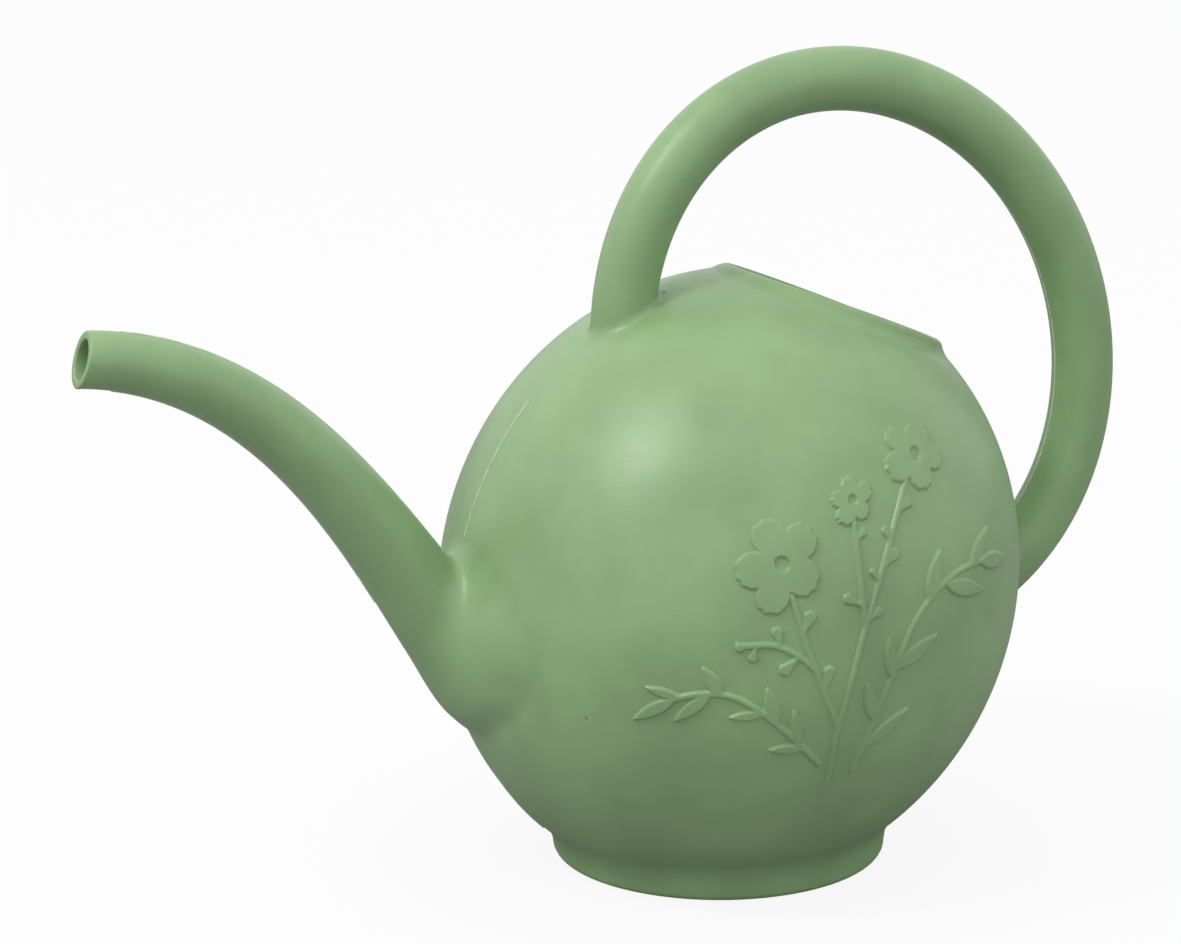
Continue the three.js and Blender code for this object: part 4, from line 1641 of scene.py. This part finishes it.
def make_stage():
    scene = bpy.context.scene
    scene.view_settings.view_transform = "Standard"
    world = bpy.data.worlds.new("studio")
    scene.world = world
    world.use_nodes = True
    tree = world.node_tree
    tree.nodes.clear()
    WORLD_LIGHT = 0.96
    lit = add_node(tree, "ShaderNodeBackground", {"Color": (1, 1, 1, 1), "Strength": WORLD_LIGHT})
    white = add_node(tree, "ShaderNodeBackground", {"Color": (1, 1, 1, 1), "Strength": 1.0})
    mixed = add_node(
        tree,
        "ShaderNodeMixShader",
        {0: seen_directly(tree), 1: lit.outputs[0], 2: white.outputs[0]},
    )
    add_node(tree, "ShaderNodeOutputWorld", {"Surface": mixed.outputs[0]})

    FLOOR_SPAN = 40
    corners = [(x * FLOOR_SPAN, y * FLOOR_SPAN, 0) for x, y in ((-1, -1), (1, -1), (1, 1), (-1, 1))]
    mesh = bpy.data.meshes.new("floor")
    mesh.from_pydata(corners, [], [(0, 1, 2, 3)])
    floor = bpy.data.objects.new("floor", mesh)
    scene.collection.objects.link(floor)
    material, tree = blank_material("matt_white_paper")
    seen = seen_directly(tree)
    BOUNCE = (0.3, 0.3, 0.3, 1)  # what the floor throws back on the can
    paper = mixed_colour(tree, seen, BOUNCE, opaque(can().colours.floor))
    matt = add_node(tree, "ShaderNodeBsdfDiffuse", {"Color": paper})
    bright = add_node(tree, "ShaderNodeEmission", {"Color": (1, 1, 1, 1), "Strength": 1.0})
    SHADOW_SHARE = 0.12  # how much of the floor's own shading the camera sees
    share = add_node(
        tree,
        "ShaderNodeMath",
        {0: seen, 1: 1 - SHADOW_SHARE},
        operation="MULTIPLY",
    )
    mixed = add_node(
        tree, "ShaderNodeMixShader", {0: share.outputs[0], 1: matt.outputs[0], 2: bright.outputs[0]}
    )
    add_node(tree, "ShaderNodeOutputMaterial", {"Surface": mixed.outputs[0]})
    mesh.materials.append(material)

    KEY_PLACE, KEY_AIM, KEY_SIZE, KEY_WATTS = (-0.84, -0.14, 1.14), (0, 0, 0.14), 0.32, 5.2
    add_lamp("key", KEY_PLACE, KEY_AIM, KEY_SIZE, KEY_WATTS)


# ---------------------------------------------------------------- operators and panel


class WATERINGCAN_OT_camera(bpy.types.Operator):
    """Adds the camera"""

    bl_idname = "watering_can.camera"
    bl_label = "Camera"

    def execute(self, context):
        make_camera()
        return {"FINISHED"}


class WATERINGCAN_OT_body(bpy.types.Operator):
    """Makes the two halves of the body"""

    bl_idname = "watering_can.body"
    bl_label = "Body Halves"

    def execute(self, context):
        make_body()
        return {"FINISHED"}


class WATERINGCAN_OT_foot(bpy.types.Operator):
    """Makes the foot ring and the base panel in it"""

    bl_idname = "watering_can.foot"
    bl_label = "Foot and Base"

    def execute(self, context):
        make_foot()
        return {"FINISHED"}


class WATERINGCAN_OT_collar(bpy.types.Operator):
    """Makes the collar round the filler mouth"""

    bl_idname = "watering_can.collar"
    bl_label = "Filler Collar"

    def execute(self, context):
        make_collar()
        return {"FINISHED"}


class WATERINGCAN_OT_spout(bpy.types.Operator):
    """Makes the spout's root, neck and tip"""

    bl_idname = "watering_can.spout"
    bl_label = "Spout"

    def execute(self, context):
        make_spout()
        return {"FINISHED"}


class WATERINGCAN_OT_handle(bpy.types.Operator):
    """Makes the handle's grip and legs"""

    bl_idname = "watering_can.handle"
    bl_label = "Handle"

    def execute(self, context):
        make_handle()
        return {"FINISHED"}


class WATERINGCAN_OT_relief(bpy.types.Operator):
    """Makes the raised flowers, stems and sprigs on both sides"""

    bl_idname = "watering_can.relief"
    bl_label = "Raised Flowers"

    def execute(self, context):
        make_relief()
        return {"FINISHED"}


class WATERINGCAN_OT_parting_line(bpy.types.Operator):
    """Makes the fine bead along the parting line"""

    bl_idname = "watering_can.parting_line"
    bl_label = "Parting Line"

    def execute(self, context):
        make_parting_line()
        return {"FINISHED"}


class WATERINGCAN_OT_stage(bpy.types.Operator):
    """Adds the world, the floor and the lamp"""

    bl_idname = "watering_can.stage"
    bl_label = "Stage"

    def execute(self, context):
        make_stage()
        return {"FINISHED"}


STEPS = (
    WATERINGCAN_OT_camera,
    WATERINGCAN_OT_stage,
    WATERINGCAN_OT_body,
    WATERINGCAN_OT_foot,
    WATERINGCAN_OT_collar,
    WATERINGCAN_OT_spout,
    WATERINGCAN_OT_handle,
    WATERINGCAN_OT_relief,
    WATERINGCAN_OT_parting_line,
)


class WATERINGCAN_PT_panel(bpy.types.Panel):
    bl_label = "Watering Can"
    bl_idname = "WATERINGCAN_PT_panel"
    bl_space_type = "VIEW_3D"
    bl_region_type = "UI"
    bl_category = "Watering Can"

    def draw(self, context):
        sizes = context.scene.watering_can
        for group in GROUPS:
            box = self.layout.box()
            box.label(text=group)
            part = getattr(sizes, group)
            for name in part.__annotations__:
                box.prop(part, name)
        for step in STEPS:
            self.layout.operator(step.bl_idname)


GROUPS = ("body", "foot", "collar", "spout", "handle", "relief", "colours")
CLASSES = (
    BodySizes,
    FootSizes,
    CollarSizes,
    SpoutSizes,
    HandleSizes,
    ReliefSizes,
    Colours,
    WateringCan,
    *STEPS,
    WATERINGCAN_PT_panel,
)


def register():
    for cls in CLASSES:
        bpy.utils.register_class(cls)
    bpy.types.Scene.watering_can = PointerProperty(type=WateringCan)


def unregister():
    del bpy.types.Scene.watering_can
    for cls in reversed(CLASSES):
        bpy.utils.unregister_class(cls)


def main():
    register()
    for step in STEPS:
        group, name = step.bl_idname.split(".")
        getattr(getattr(bpy.ops, group), name)()


if __name__ == "__main__":
    main()
